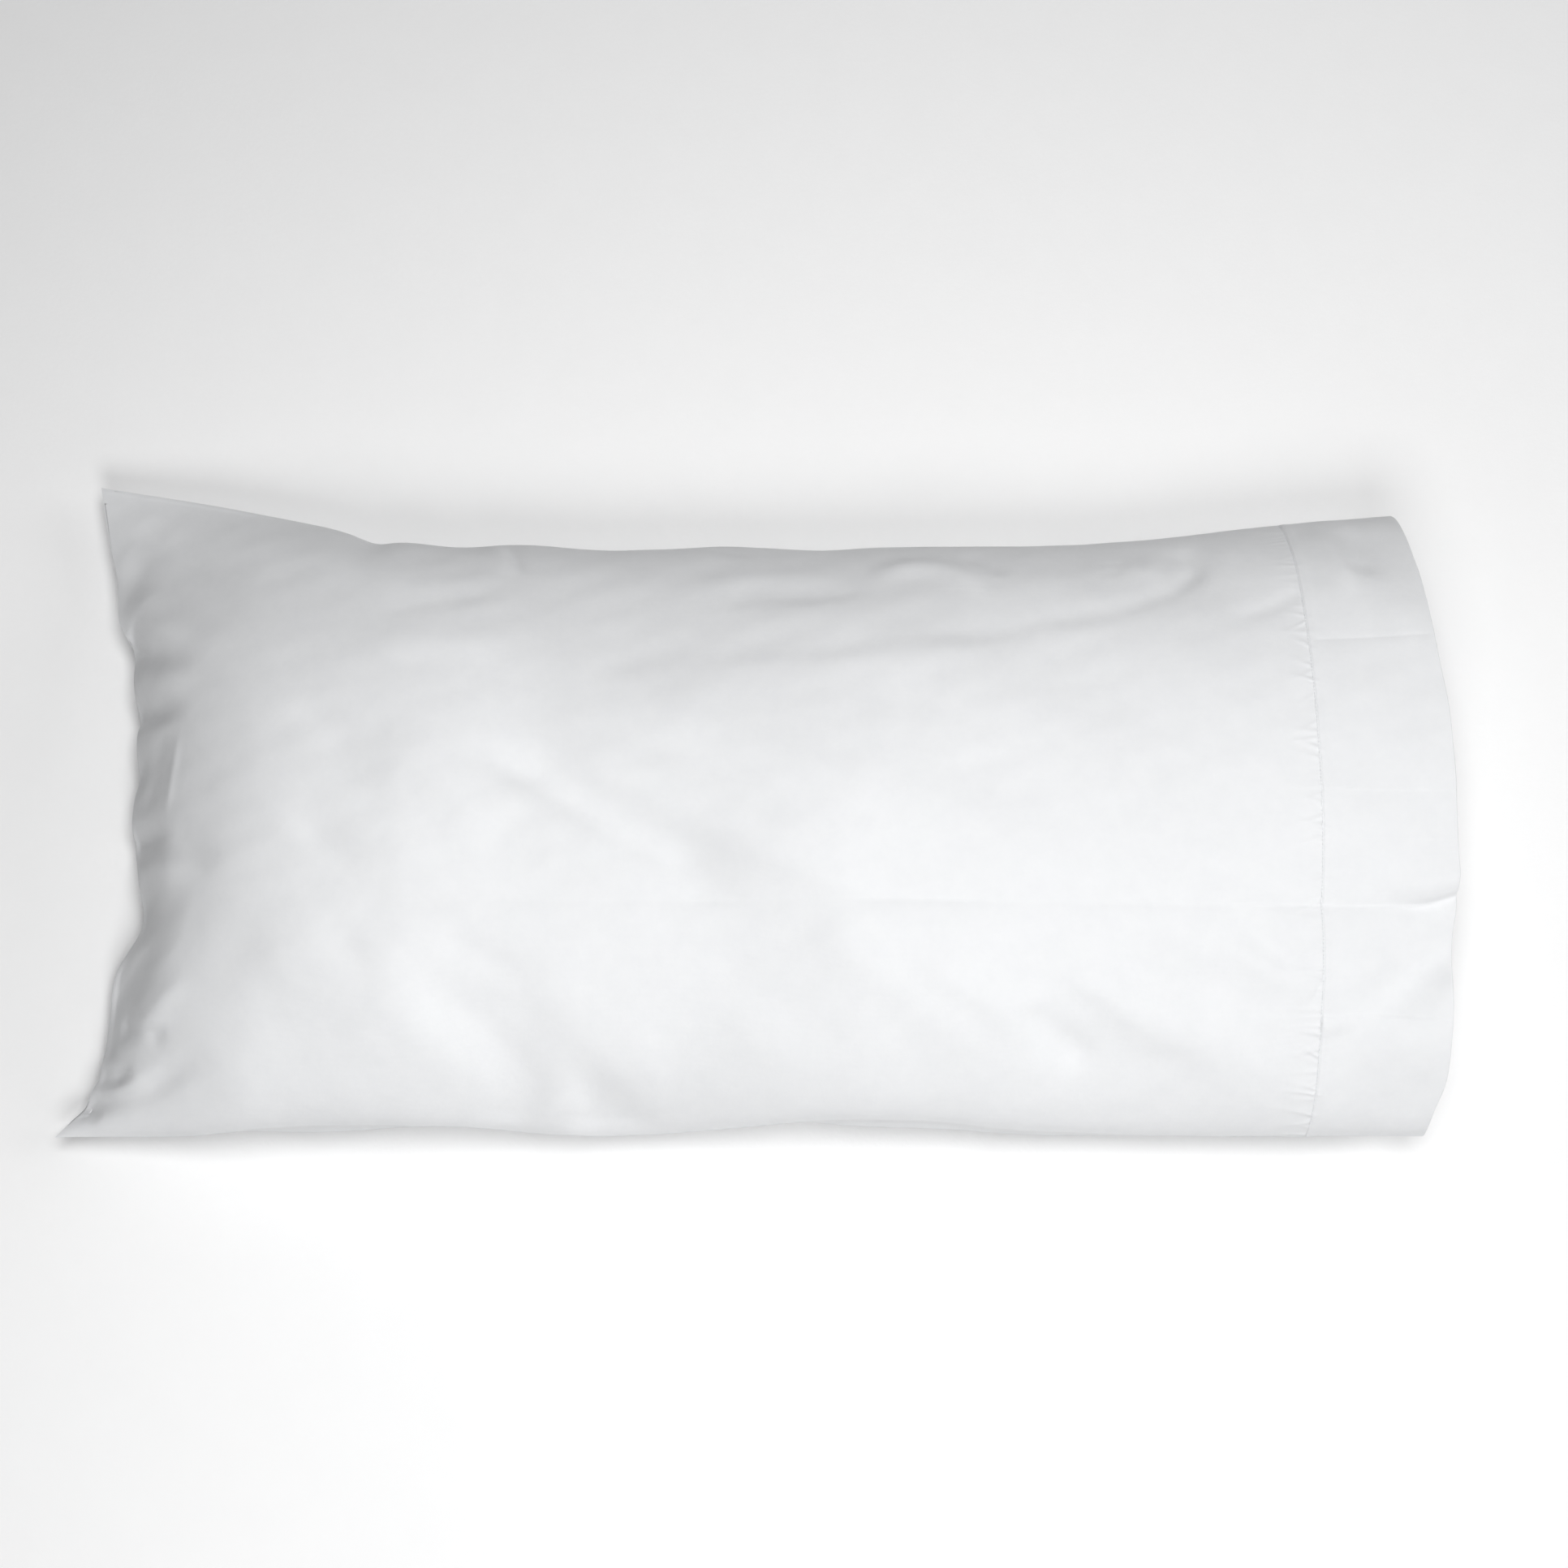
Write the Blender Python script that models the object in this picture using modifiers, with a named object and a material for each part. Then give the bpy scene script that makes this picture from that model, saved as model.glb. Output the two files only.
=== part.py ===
"""A bed pillow: a fibre-filled insert inside an open-ended pillowcase.

Metres, +Z up. The pillow lies on its back on z = 0. +X runs from the case's closed end to its open mouth,
+Y across it. The origin is below the middle of the whole object.

The case is two panels joined by inside seams on three sides, and a doubled cuff ring round its mouth. The
insert is two ticking panels with a corded edge, round one mass of fibre. It slides out along +X.

Both are described by cross-sections: at each station along X, a closed loop of (y, z) points that crosses the
upper side from +Y to -Y and comes back under the lower side.
"""

import math

import bmesh
import bpy
from mathutils import Vector

# The case, from the tips of its closed corners to the edge of its mouth. Its near edge is straight. Its far
# edge stands out at the closed corner, is drawn in at the waist and spreads again towards the mouth.
CASE_LENGTH = 0.992
CASE_HEIGHT = 0.160
NEAR_EDGE = 0.250
CORNER_FAR_EDGE = 0.250
WAIST_FAR_EDGE = 0.190
MOUTH_FAR_EDGE = 0.217
CORNER_REACH = 0.24
MOUTH_REACH = 0.34
END_PULL = 0.048
PULL_REACH = 0.30
END_TAPER = 0.26
SEAM_HEIGHT = 0.060
SIDE_POWER = 3.0
LOWER_DEPTH = 0.066
CLOTH = 0.0006
PLY_GAP = 0.0003
SEAM_LIP = 0.0010

# The cuff, a folded band that takes the panels' edges between its two plies.
CUFF_DEPTH = 0.097
TONGUE = 0.010
DITCH = 0.0016
THREAD_RADIUS = 0.0002

# The turned-in edges of the case's side and end seams.
ALLOWANCE_IN = 0.003
ALLOWANCE_WIDTH = 0.008
ALLOWANCE_THICKNESS = 0.0010
CORNER_CLEAR = 0.022
END_SEAM_SHARE = 0.88

# The insert, measured to the middle of its edge cord.
INSERT_BACK = -0.425
INSERT_FRONT = 0.405
INSERT_HALF_WIDTH = 0.204
INSERT_CORNER = 0.030
INSERT_TAPER = 0.20
INSERT_RISE = 0.086
INSERT_DEPTH = 0.0600
INSERT_FLOOR = 0.0045
CORD_RADIUS = 0.002
TICKING = 0.0005

# Labels and the thread that closes the filling slot.
LABEL_WIDTH = 0.032
LABEL_LENGTH = 0.044
LABEL_THICKNESS = 0.0004
INSERT_LABEL_X = 0.26
CASE_LABEL_X = 0.40
SLOT_LENGTH = 0.18
SLOT_INSET = 0.006

# How finely each piece is divided.
ACROSS = 16
INSERT_ACROSS = 12
CORD_SIDES = 1
ROUND_TURN = 4

BACK = -CASE_LENGTH / 2
MOUTH = CASE_LENGTH / 2
CUFF_SEAM = MOUTH - CUFF_DEPTH
UPPER_RISE = CASE_HEIGHT - SEAM_HEIGHT - SEAM_LIP
INSERT_CENTRE = (WAIST_FAR_EDGE - NEAR_EDGE) / 2

WHITE_PERCALE = (0.90, 0.905, 0.92, 1)
WHITE_THREAD = (0.82, 0.83, 0.84, 1)
WHITE_TICKING = (0.86, 0.86, 0.85, 1)
WHITE_FIBRE = (0.93, 0.93, 0.92, 1)
SATIN_LABEL = (0.88, 0.88, 0.90, 1)


def clear_scene():
    for obj in list(bpy.data.objects):
        bpy.data.objects.remove(obj, do_unlink=True)


def make_material(name, colour, roughness):
    material = bpy.data.materials.new(name)
    material.use_nodes = True
    shader = material.node_tree.nodes["Principled BSDF"]
    shader.inputs["Base Color"].default_value = colour
    shader.inputs["Roughness"].default_value = roughness
    shader.inputs["Metallic"].default_value = 0.0
    return material


def spaced(start, end, count):
    """count + 1 even steps from start to end."""
    return [start + (end - start) * i / count for i in range(count + 1)]


def eased(start, end, count):
    """count + 1 steps from start to end that crowd towards the start."""
    return [start + (end - start) * (i / count) ** 2 for i in range(count + 1)]


def fade(distance, reach):
    """1 at no distance, falling smoothly to 0 at reach."""
    return max(0.0, 1 - distance / reach) ** 1.6


def taper(distance, length):
    """0 at a seamed end, rising steeply and levelling out at length."""
    return 1 - max(0.0, 1 - distance / length) ** 3


# Cross-sections of the case and the insert


def case_edges(station):
    """The case's half width at a station, and the Y of its middle."""
    corner = (CORNER_FAR_EDGE - WAIST_FAR_EDGE) * fade(station - BACK, CORNER_REACH)
    mouth = (MOUTH_FAR_EDGE - WAIST_FAR_EDGE) * fade(MOUTH - station, MOUTH_REACH)
    far = WAIST_FAR_EDGE + corner + mouth
    return (far + NEAR_EDGE) / 2, (far - NEAR_EDGE) / 2


def case_shift(station, side):
    """How far the closed end's middle is drawn in along X. side is from -1 to 1 across the case."""
    return END_PULL * (1 - side * side) * fade(station - BACK, PULL_REACH)


def inset_loop(loop, depth):
    """The closed loop of (y, z) points moved inwards by depth, with mitred corners."""
    moved = []
    for i, (y, z) in enumerate(loop):
        before = Vector(loop[i - 1])
        after = Vector(loop[(i + 1) % len(loop)])
        here = Vector((y, z))
        one = (here - before).normalized()
        two = (after - here).normalized()
        inward = Vector((-one.y - two.y, one.x + two.x)).normalized()
        mitre = inward.dot(Vector((-one.y, one.x)))
        moved.append(here + inward * depth / mitre)
    return moved


def section(half_width, rise, depth, lip, floor, across):
    """A loop from +Y over the top to -Y and back below, with a lip of two points at each side."""
    sides = [math.cos(math.pi * i / across) for i in range(across + 1)]
    crown = [1 - abs(side) ** SIDE_POWER for side in sides]
    upper = [(side * half_width, SEAM_HEIGHT + lip + rise * c) for side, c in zip(sides, crown)]
    lower = [
        (side * half_width, max(floor, SEAM_HEIGHT - lip - depth * c))
        for side, c in zip(sides, crown)
    ]
    return upper + lower[::-1]


def case_loop(station, depth=0.0):
    swell = taper(station - BACK, END_TAPER)
    half_width, centre = case_edges(station)
    loop = section(half_width, UPPER_RISE * swell, LOWER_DEPTH * swell, SEAM_LIP, 0.0, ACROSS)
    placed = inset_loop(loop, depth) if depth else loop
    return [
        Vector((station + case_shift(station, y / half_width), centre + y, z)) for y, z in placed
    ]


def insert_half_width(station, edge):
    """The insert's plan is a rectangle with rounded corners, drawn in all round by edge."""
    past = max(0.0, INSERT_CORNER - min(station - INSERT_BACK, INSERT_FRONT - station))
    turn = math.sqrt(max(0.0, (INSERT_CORNER - edge) ** 2 - past**2))
    return INSERT_HALF_WIDTH - INSERT_CORNER + turn


def insert_loop(station, edge, depth, across):
    """A section of the insert, its edge drawn in by edge and its faces by depth."""
    run = min(station - INSERT_BACK, INSERT_FRONT - station) - edge
    swell = taper(max(0.0, run), INSERT_TAPER)
    return [
        Vector((station, INSERT_CENTRE + y, z))
        for y, z in section(
            insert_half_width(station, edge),
            INSERT_RISE * swell - depth * swell,
            INSERT_DEPTH * swell - depth * swell,
            SEAM_LIP - depth,
            INSERT_FLOOR + depth,
            across,
        )
    ]


# Building


def draped_grid(name, loops, ring=False):
    """An open surface with one row of faces between each two loops. ring joins each loop's ends."""
    if ring:
        loops = [loop + loop[:1] for loop in loops]
    rows, columns = len(loops) - 1, len(loops[0]) - 1
    grid = bmesh.new()
    bmesh.ops.create_grid(grid, x_segments=rows, y_segments=columns, size=1)
    for vert in grid.verts:
        row = round((vert.co.x + 1) / 2 * rows)
        column = round((1 - vert.co.y) / 2 * columns)
        vert.co = loops[row][column]
    bmesh.ops.remove_doubles(grid, verts=grid.verts, dist=1e-6)
    mesh = bpy.data.meshes.new(name)
    grid.to_mesh(mesh)
    grid.free()
    return mesh


def place(name, data, material, group, parent):
    obj = bpy.data.objects.new(name, data)
    obj.data.materials.append(material)
    group.objects.link(obj)
    obj.parent = parent
    if isinstance(data, bpy.types.Mesh):
        data.shade_smooth()
    return obj


def thicken(obj, thickness, offset):
    """Gives an open surface its cloth: offset -1 is inwards, 0 to both sides."""
    solidify = obj.modifiers.new("Cloth", "SOLIDIFY")
    solidify.thickness = thickness
    solidify.offset = offset
    solidify.use_even_offset = True


def tube(name, points, radius, cyclic):
    """A cord or thread along the points."""
    curve = bpy.data.curves.new(name, "CURVE")
    curve.dimensions = "3D"
    curve.bevel_depth = radius
    curve.bevel_resolution = CORD_SIDES
    curve.use_fill_caps = not cyclic
    spline = curve.splines.new("POLY")
    spline.points.add(len(points) - 1)
    for control, point in zip(spline.points, points):
        control.co = (*point, 1)
    spline.use_cyclic_u = cyclic
    return curve


def panel_loops():
    """The case's sections from the closed end, down over the ditch, to the tongue in the cuff."""
    body = eased(BACK, BACK + END_TAPER, 9) + spaced(BACK + END_TAPER, CUFF_SEAM - DITCH, 10)[1:]
    under_cuff = CLOTH + PLY_GAP
    loops = [case_loop(station) for station in body]
    loops.append(case_loop(CUFF_SEAM - DITCH / 2, under_cuff))
    loops.append(case_loop(CUFF_SEAM + TONGUE, under_cuff))
    return loops


def make_panels(materials, group, parent):
    half = ACROSS + 1
    for name, first in (("upper_panel", 0), ("lower_panel", half)):
        loops = [loop[first : first + half] for loop in panel_loops()]
        obj = place(name, draped_grid(name, loops), materials["percale"], group, parent)
        thicken(obj, CLOTH, -1)


def make_cuff(materials, group, parent):
    """The folded band: out along the outer ply, round the mouth's fold and back along the inner ply."""
    outer = CLOTH / 2
    inner = outer + 2 * (CLOTH + PLY_GAP)
    turn = (inner - outer) / 2
    fold_at = MOUTH - turn - CLOTH / 2
    start = CUFF_SEAM + DITCH / 2 - THREAD_RADIUS
    loops = [case_loop(station, outer) for station in spaced(start, fold_at, 3)]
    for i in range(1, ROUND_TURN):
        angle = math.pi * i / ROUND_TURN
        depth = outer + turn * (1 - math.cos(angle))
        loops.append(case_loop(fold_at + turn * math.sin(angle), depth))
    loops += [case_loop(station, inner) for station in spaced(fold_at, start, 3)]
    obj = place("mouth_cuff", draped_grid("mouth_cuff", loops, ring=True), materials["percale"], group, parent)
    thicken(obj, CLOTH, 0)


def make_cuff_thread(materials, group, parent):
    """The lockstitch that lies in the ditch between the panels and the cuff."""
    depth = CLOTH + PLY_GAP - 2 * THREAD_RADIUS - PLY_GAP / 2
    ring = case_loop(CUFF_SEAM, depth)
    place("cuff_seam_thread", tube("cuff_seam_thread", ring, THREAD_RADIUS, True), materials["thread"], group, parent)


def make_side_seams(materials, group, parent):
    stations = eased(BACK + CORNER_CLEAR, BACK + END_TAPER, 6) + spaced(BACK + END_TAPER, CUFF_SEAM - DITCH, 4)[1:]
    for name, side in (("far_side_seam", 1), ("near_side_seam", -1)):
        edges = []
        for station in stations:
            half_width, centre = case_edges(station)
            edges.append(
                [
                    Vector((station, centre + side * (half_width - inset), SEAM_HEIGHT))
                    for inset in (ALLOWANCE_IN, ALLOWANCE_IN + ALLOWANCE_WIDTH)
                ]
            )
        obj = place(name, draped_grid(name, edges), materials["percale"], group, parent)
        thicken(obj, ALLOWANCE_THICKNESS, 0)


def make_end_seam(materials, group, parent):
    half_width, centre = case_edges(BACK)
    rows = []
    for side in spaced(-END_SEAM_SHARE, END_SEAM_SHARE, 14):
        edge = BACK + END_PULL * (1 - side * side)
        rows.append(
            [
                Vector((edge + inset, centre + side * half_width, SEAM_HEIGHT))
                for inset in (ALLOWANCE_IN, ALLOWANCE_IN + ALLOWANCE_WIDTH)
            ]
        )
    obj = place("end_seam", draped_grid("end_seam", rows), materials["percale"], group, parent)
    thicken(obj, ALLOWANCE_THICKNESS, 0)


def make_case_label(materials, group, parent):
    """A folded care label caught in the near side seam, lying up against the upper panel."""
    clear = CLOTH + PLY_GAP + LABEL_THICKNESS
    rows = []
    for station in spaced(CASE_LABEL_X - LABEL_WIDTH - 0.02, CASE_LABEL_X - 0.02, 2):
        loop = case_loop(station, clear)
        rows.append([loop[i] for i in range(ACROSS - 2, ACROSS - 5, -1)])
    obj = place("case_care_label", draped_grid("case_care_label", rows), materials["label"], group, parent)
    thicken(obj, LABEL_THICKNESS, 0)


def insert_stations(edge):
    """Stations from one end of the insert to the other, close together near its ends."""
    back, front = INSERT_BACK + edge, INSERT_FRONT - edge
    start = eased(back, back + INSERT_TAPER, 7)
    end = [back + front - station for station in start]
    middle = spaced(start[-1], end[-1], 5)[1:-1]
    return start + middle + end[::-1]


def make_ticking(materials, group, parent):
    edge = CORD_RADIUS + PLY_GAP
    half = INSERT_ACROSS + 1
    loops = [insert_loop(station, edge, 0.0, INSERT_ACROSS) for station in insert_stations(edge)]
    for name, first in (("upper_ticking", 0), ("lower_ticking", half)):
        rows = [loop[first : first + half] for loop in loops]
        obj = place(name, draped_grid(name, rows), materials["ticking"], group, parent)
        thicken(obj, TICKING, -1)


def make_fibre(materials, group, parent):
    """The filling, a solid that the ticking wraps with a small gap."""
    depth = TICKING + PLY_GAP
    edge = CORD_RADIUS + PLY_GAP + depth
    loops = [insert_loop(station, edge, depth, INSERT_ACROSS) for station in insert_stations(edge)]
    mesh = draped_grid("fibre_fill", loops, ring=True)
    solid = bmesh.new()
    solid.from_mesh(mesh)
    bmesh.ops.holes_fill(solid, edges=solid.edges)
    bmesh.ops.recalc_face_normals(solid, faces=solid.faces)
    solid.to_mesh(mesh)
    solid.free()
    place("fibre_fill", mesh, materials["fibre"], group, parent)


def make_edge_cord(materials, group, parent):
    """The piping cord round the insert's edge, a rounded rectangle at seam height."""
    turn = spaced(0, math.pi / 2, 8)
    reach_x = (INSERT_FRONT - INSERT_BACK) / 2 - INSERT_CORNER
    reach_y = INSERT_HALF_WIDTH - INSERT_CORNER
    middle = (INSERT_FRONT + INSERT_BACK) / 2
    points = []
    for quarter, (sx, sy) in enumerate(((1, 1), (-1, 1), (-1, -1), (1, -1))):
        for angle in turn:
            heading = angle + quarter * math.pi / 2
            points.append(
                (
                    middle + sx * reach_x + INSERT_CORNER * math.cos(heading),
                    INSERT_CENTRE + sy * reach_y + INSERT_CORNER * math.sin(heading),
                    SEAM_HEIGHT,
                )
            )
    place("edge_cord", tube("edge_cord", points, CORD_RADIUS, True), materials["ticking"], group, parent)


def make_closing_thread(materials, group, parent):
    """The straight run of stitching that closes the slot the fibre was blown in through."""
    station = INSERT_FRONT - CORD_RADIUS - SLOT_INSET
    half_width = insert_half_width(station, CORD_RADIUS + PLY_GAP)
    lift = INSERT_RISE * taper(SLOT_INSET - PLY_GAP, INSERT_TAPER)
    points = []
    for y in spaced(-SLOT_LENGTH / 2, SLOT_LENGTH / 2, 10):
        crown = 1 - abs(y / half_width) ** SIDE_POWER
        height = SEAM_HEIGHT + SEAM_LIP + lift * crown + THREAD_RADIUS + 2 * PLY_GAP
        points.append((station, INSERT_CENTRE + y, height))
    place(
        "closing_thread", tube("closing_thread", points, THREAD_RADIUS, False), materials["thread"], group, parent
    )


def make_insert_label(materials, group, parent):
    """The insert's care label, caught in its near edge and lying up over the ticking."""
    rows = []
    for x in spaced(INSERT_LABEL_X - LABEL_WIDTH, INSERT_LABEL_X, 2):
        row = []
        for inset in spaced(0, LABEL_LENGTH, 4):
            y = INSERT_HALF_WIDTH - CORD_RADIUS - PLY_GAP - inset
            crown = 1 - (y / (INSERT_HALF_WIDTH - CORD_RADIUS - PLY_GAP)) ** SIDE_POWER
            swell = taper(INSERT_FRONT - x, INSERT_TAPER)
            height = SEAM_HEIGHT + 3 * SEAM_LIP + INSERT_RISE * swell * crown
            row.append(Vector((x, INSERT_CENTRE - y, height)))
        rows.append(row)
    obj = place("insert_care_label", draped_grid("insert_care_label", rows), materials["label"], group, parent)
    thicken(obj, LABEL_THICKNESS, 0)


def main():
    clear_scene()
    group = bpy.data.collections.new("bed_pillow")
    bpy.context.scene.collection.children.link(group)
    materials = {
        "percale": make_material("white_percale", WHITE_PERCALE, 0.85),
        "thread": make_material("white_thread", WHITE_THREAD, 0.6),
        "ticking": make_material("white_ticking", WHITE_TICKING, 0.8),
        "fibre": make_material("white_fibre", WHITE_FIBRE, 0.95),
        "label": make_material("satin_label", SATIN_LABEL, 0.45),
    }
    case = bpy.data.objects.new("pillowcase", None)
    insert = bpy.data.objects.new("insert", None)
    for empty in (case, insert):
        group.objects.link(empty)
    for make in (make_panels, make_cuff, make_cuff_thread, make_side_seams, make_end_seam, make_case_label):
        make(materials, group, case)
    for make in (make_ticking, make_fibre, make_edge_cord, make_closing_thread, make_insert_label):
        make(materials, group, insert)


main()
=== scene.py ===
"""The looks of a bed pillow: a filled insert in an open-ended percale pillowcase.

The case is one flat-cut tube of cloth, two layers sewn along both sides and one end. Its cloth is relaxed
by simulation over the filled form. Then folds, puckers, the ironing crease and the seams are laid into it,
and it is divided into the two panels and the folded cuff. The insert is made the same way, from two ticking
panels with a corded edge, and slides out with its own body.

A layer is a grid of points: its rows run from the closed end to the mouth, its columns from the near side
to the far side. Each pair of layers, upper and lower, shares the points along its seams.
"""

import math

import bpy
import numpy as np
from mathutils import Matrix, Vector


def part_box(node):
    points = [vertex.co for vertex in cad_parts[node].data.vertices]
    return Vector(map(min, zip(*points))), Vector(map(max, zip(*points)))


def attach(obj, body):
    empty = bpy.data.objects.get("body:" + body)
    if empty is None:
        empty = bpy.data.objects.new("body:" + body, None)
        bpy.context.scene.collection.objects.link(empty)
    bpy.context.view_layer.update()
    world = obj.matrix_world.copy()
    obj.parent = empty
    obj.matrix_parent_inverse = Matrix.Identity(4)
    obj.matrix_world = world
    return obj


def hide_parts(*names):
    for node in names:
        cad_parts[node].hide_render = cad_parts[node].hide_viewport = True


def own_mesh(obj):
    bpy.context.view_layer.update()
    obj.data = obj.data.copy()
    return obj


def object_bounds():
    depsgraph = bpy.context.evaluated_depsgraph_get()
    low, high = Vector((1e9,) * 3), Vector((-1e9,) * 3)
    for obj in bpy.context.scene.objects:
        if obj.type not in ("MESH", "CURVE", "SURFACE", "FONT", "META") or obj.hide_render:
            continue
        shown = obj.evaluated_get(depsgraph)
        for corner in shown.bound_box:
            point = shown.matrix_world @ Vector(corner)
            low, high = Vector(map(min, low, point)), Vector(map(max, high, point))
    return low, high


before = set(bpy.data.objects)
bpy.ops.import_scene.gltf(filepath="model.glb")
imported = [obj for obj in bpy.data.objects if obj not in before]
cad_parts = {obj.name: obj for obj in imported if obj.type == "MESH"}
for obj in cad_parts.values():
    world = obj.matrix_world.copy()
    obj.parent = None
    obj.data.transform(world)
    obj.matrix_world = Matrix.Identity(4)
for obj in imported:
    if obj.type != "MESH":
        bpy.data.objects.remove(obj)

CAD_LOW, CAD_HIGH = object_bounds()
BACK, MOUTH = CAD_LOW.x, CAD_HIGH.x
NEAR, FAR = CAD_LOW.y, CAD_HIGH.y
FLOOR, LOFT = CAD_LOW.z, CAD_HIGH.z
CUFF_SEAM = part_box("mouth_cuff")[0].x
CORD_LOW, CORD_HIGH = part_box("edge_cord")
CORD_RADIUS = (CORD_HIGH.z - CORD_LOW.z) / 2
INSERT_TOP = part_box("upper_ticking")[1].z
INSERT_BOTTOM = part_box("lower_ticking")[0].z

# The flat cut of the case before it was filled, and the slack that wearing has put in it.
FLAT_WIDTH = 0.508
FLAT_LENGTH = 1.016
SLACK_ALONG = 1.010
SLACK_ACROSS = 1.020

# The simulated cloth's divisions, along and across one layer.
SIM_ROWS, SIM_COLUMNS = 132, 66
INSERT_ROWS, INSERT_COLUMNS = 84, 44

# The finished panels' divisions. Beside the cuff seam the columns double, and rows lie this far from it.
PANEL_ROWS, PANEL_COLUMNS = 216, 340
CUFF_ROWS = 24
BESIDE_CUFF = [
    0.0145, 0.0110, 0.0082, 0.0062, 0.0047, 0.0036, 0.0027, 0.0020, 0.0014, 0.0009, 0.0005, 0.0002
]
DENSE_ROWS = 1201
FINE_INSERT_ROWS, FINE_INSERT_COLUMNS = 260, 150
PIPING_POINTS = 1100

# How much deeper the closed end's folds lie than their lifts say.
END_FOLD_DEPTH = 1.2
# How far the lower cloth stays off the floor, before and after the folds are laid in.
SIM_OFF_FLOOR = 0.0008
OFF_FLOOR = 0.0004
# The ditch in which the cuff is stitched on, and the roll beside the side seams.
SEAM_DITCH = 0.00028
DITCH_REACH = 0.0009
SEAM_ROLL = 0.00025
ALLOWANCE = 0.0065
FOLD_RADIUS = 0.0011
THREAD_RADIUS = 0.00024
THREAD_DIP = 0.0006
STITCH = 0.0026
PUCKER_HEIGHT = 0.0015


# Curves and surfaces in numbers


def through(*points):
    """A smooth function through the points (x, y) that doesn't overshoot between them."""
    x, y = (np.array(c, float) for c in zip(*points))
    step = np.diff(x)
    slope = np.diff(y) / step
    tangent = np.zeros(len(x))
    tangent[0], tangent[-1] = slope[0], slope[-1]
    inner = slope[:-1] * slope[1:] > 0
    mean = 2 * slope[:-1] * slope[1:] / np.where(inner, slope[:-1] + slope[1:], 1)
    tangent[1:-1] = np.where(inner, mean, 0)

    def at(value):
        value = np.clip(value, x[0], x[-1])
        i = np.clip(np.searchsorted(x, value) - 1, 0, len(step) - 1)
        t = (value - x[i]) / step[i]
        return (
            (1 + 2 * t) * (1 - t) ** 2 * y[i]
            + t * (1 - t) ** 2 * step[i] * tangent[i]
            + t * t * (3 - 2 * t) * y[i + 1]
            - t * t * (1 - t) * step[i] * tangent[i + 1]
        )

    return at


def smooth(value, start, end):
    """0 before start, 1 after end, smooth between."""
    t = np.clip((value - start) / (end - start), 0, 1)
    return t * t * (3 - 2 * t)


def hump(value, reach):
    """1 at 0, fading to nothing at about twice reach on both sides."""
    return np.exp(-((value / reach) ** 2))


def wander(x, y, size, seed, stretch=1.0):
    """Smooth irregularity, mostly from -1 to 1, with features of this size, longer along X by stretch."""
    draw = np.random.default_rng(seed)
    total = np.zeros(np.broadcast(x, y).shape)
    waves = 10
    for _ in range(waves):
        heading, phase = draw.uniform(0, 2 * np.pi, 2)
        pitch = size * draw.uniform(0.7, 1.7)
        across = x * np.cos(heading) / stretch + y * np.sin(heading)
        total += np.sin(2 * np.pi * across / pitch + phase)
    return total / math.sqrt(waves)


def unit(vectors):
    """The vectors at a length of 1."""
    return vectors / np.maximum(np.linalg.norm(vectors, axis=-1, keepdims=True), 1e-12)


def run(line):
    """How far along a line of points each one is."""
    return np.concatenate([[0], np.cumsum(np.linalg.norm(np.diff(line, axis=0), axis=1))])


def read_at(at, along, values):
    """The values, given at the distances along, read at the distances at."""
    return np.stack([np.interp(at, along, values[:, k]) for k in range(3)], axis=1)


def spread_evenly(line):
    """The points of a line, moved along it to be evenly spaced."""
    along = run(line)
    return read_at(np.linspace(0, along[-1], len(line)), along, line)


def seams(open_mouth):
    """Where a layer is sewn to the other: its closed end, both sides, and the mouth unless it's open."""
    joined = [np.s_[0], np.s_[:, 0], np.s_[:, -1]]
    return joined if open_mouth else [*joined, np.s_[-1]]


def sewn(upper, lower, open_mouth):
    """Both layers with their points spread evenly, then joined along the seams."""
    for layer in (upper, lower):
        for line in (*layer, *layer.transpose(1, 0, 2)):
            line[:] = spread_evenly(line)
    middle = (upper + lower) / 2
    for seam in seams(open_mouth):
        upper[seam] = lower[seam] = middle[seam]
    return upper, lower


def spline(points, at):
    """A smooth curve along the rows of points, read at these shares of its length. It keeps both ends."""
    before, after = 2 * points[0] - points[1], 2 * points[-1] - points[-2]
    knots = np.concatenate([[before], points, [after]])
    place = np.clip(at, 0, 1) * (len(points) - 1)
    i = np.minimum(place.astype(int), len(points) - 2)
    t = (place - i).reshape(-1, *[1] * (points.ndim - 1))
    weights = ((1 - t) ** 3, 3 * t**3 - 6 * t**2 + 4, -3 * t**3 + 3 * t**2 + 3 * t + 1, t**3)
    return sum(weight * knots[i + k] for k, weight in enumerate(weights)) / 6


def refined(layer, rows, columns):
    """The layer as a smooth surface, read at these shares of its length and its width."""
    return spline(spline(layer.transpose(1, 0, 2), columns).transpose(1, 0, 2), rows)


def pick(layer, share):
    """The layer's points at these shares of its length, one set of shares for each column."""
    place = np.clip(share, 0, 1) * (len(layer) - 1)
    i = np.minimum(place.astype(int), len(layer) - 2)
    t = (place - i)[..., None]
    column = np.arange(layer.shape[1])[None, :]
    return layer[i, column] * (1 - t) + layer[i + 1, column] * t


def normals(layer):
    """The unit normals of a grid of points, on the side where rows turn into columns counterclockwise."""
    return unit(np.cross(np.gradient(layer, axis=0), np.gradient(layer, axis=1)))


def run_from_end(layer):
    """Each point's distance from the layer's first row, over the cloth."""
    steps = np.linalg.norm(np.diff(layer, axis=0), axis=2)
    return np.concatenate([np.zeros((1, layer.shape[1])), np.cumsum(steps, axis=0)])


def run_across(layer):
    """Each point's distance from the layer's near seam, over the cloth."""
    return run_from_end(layer.transpose(1, 0, 2)).T


def from_sides(layer):
    """Each point's distance from the nearer side seam, over the cloth."""
    across = run_across(layer)
    return np.minimum(across, across[:, -1:] - across)


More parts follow.
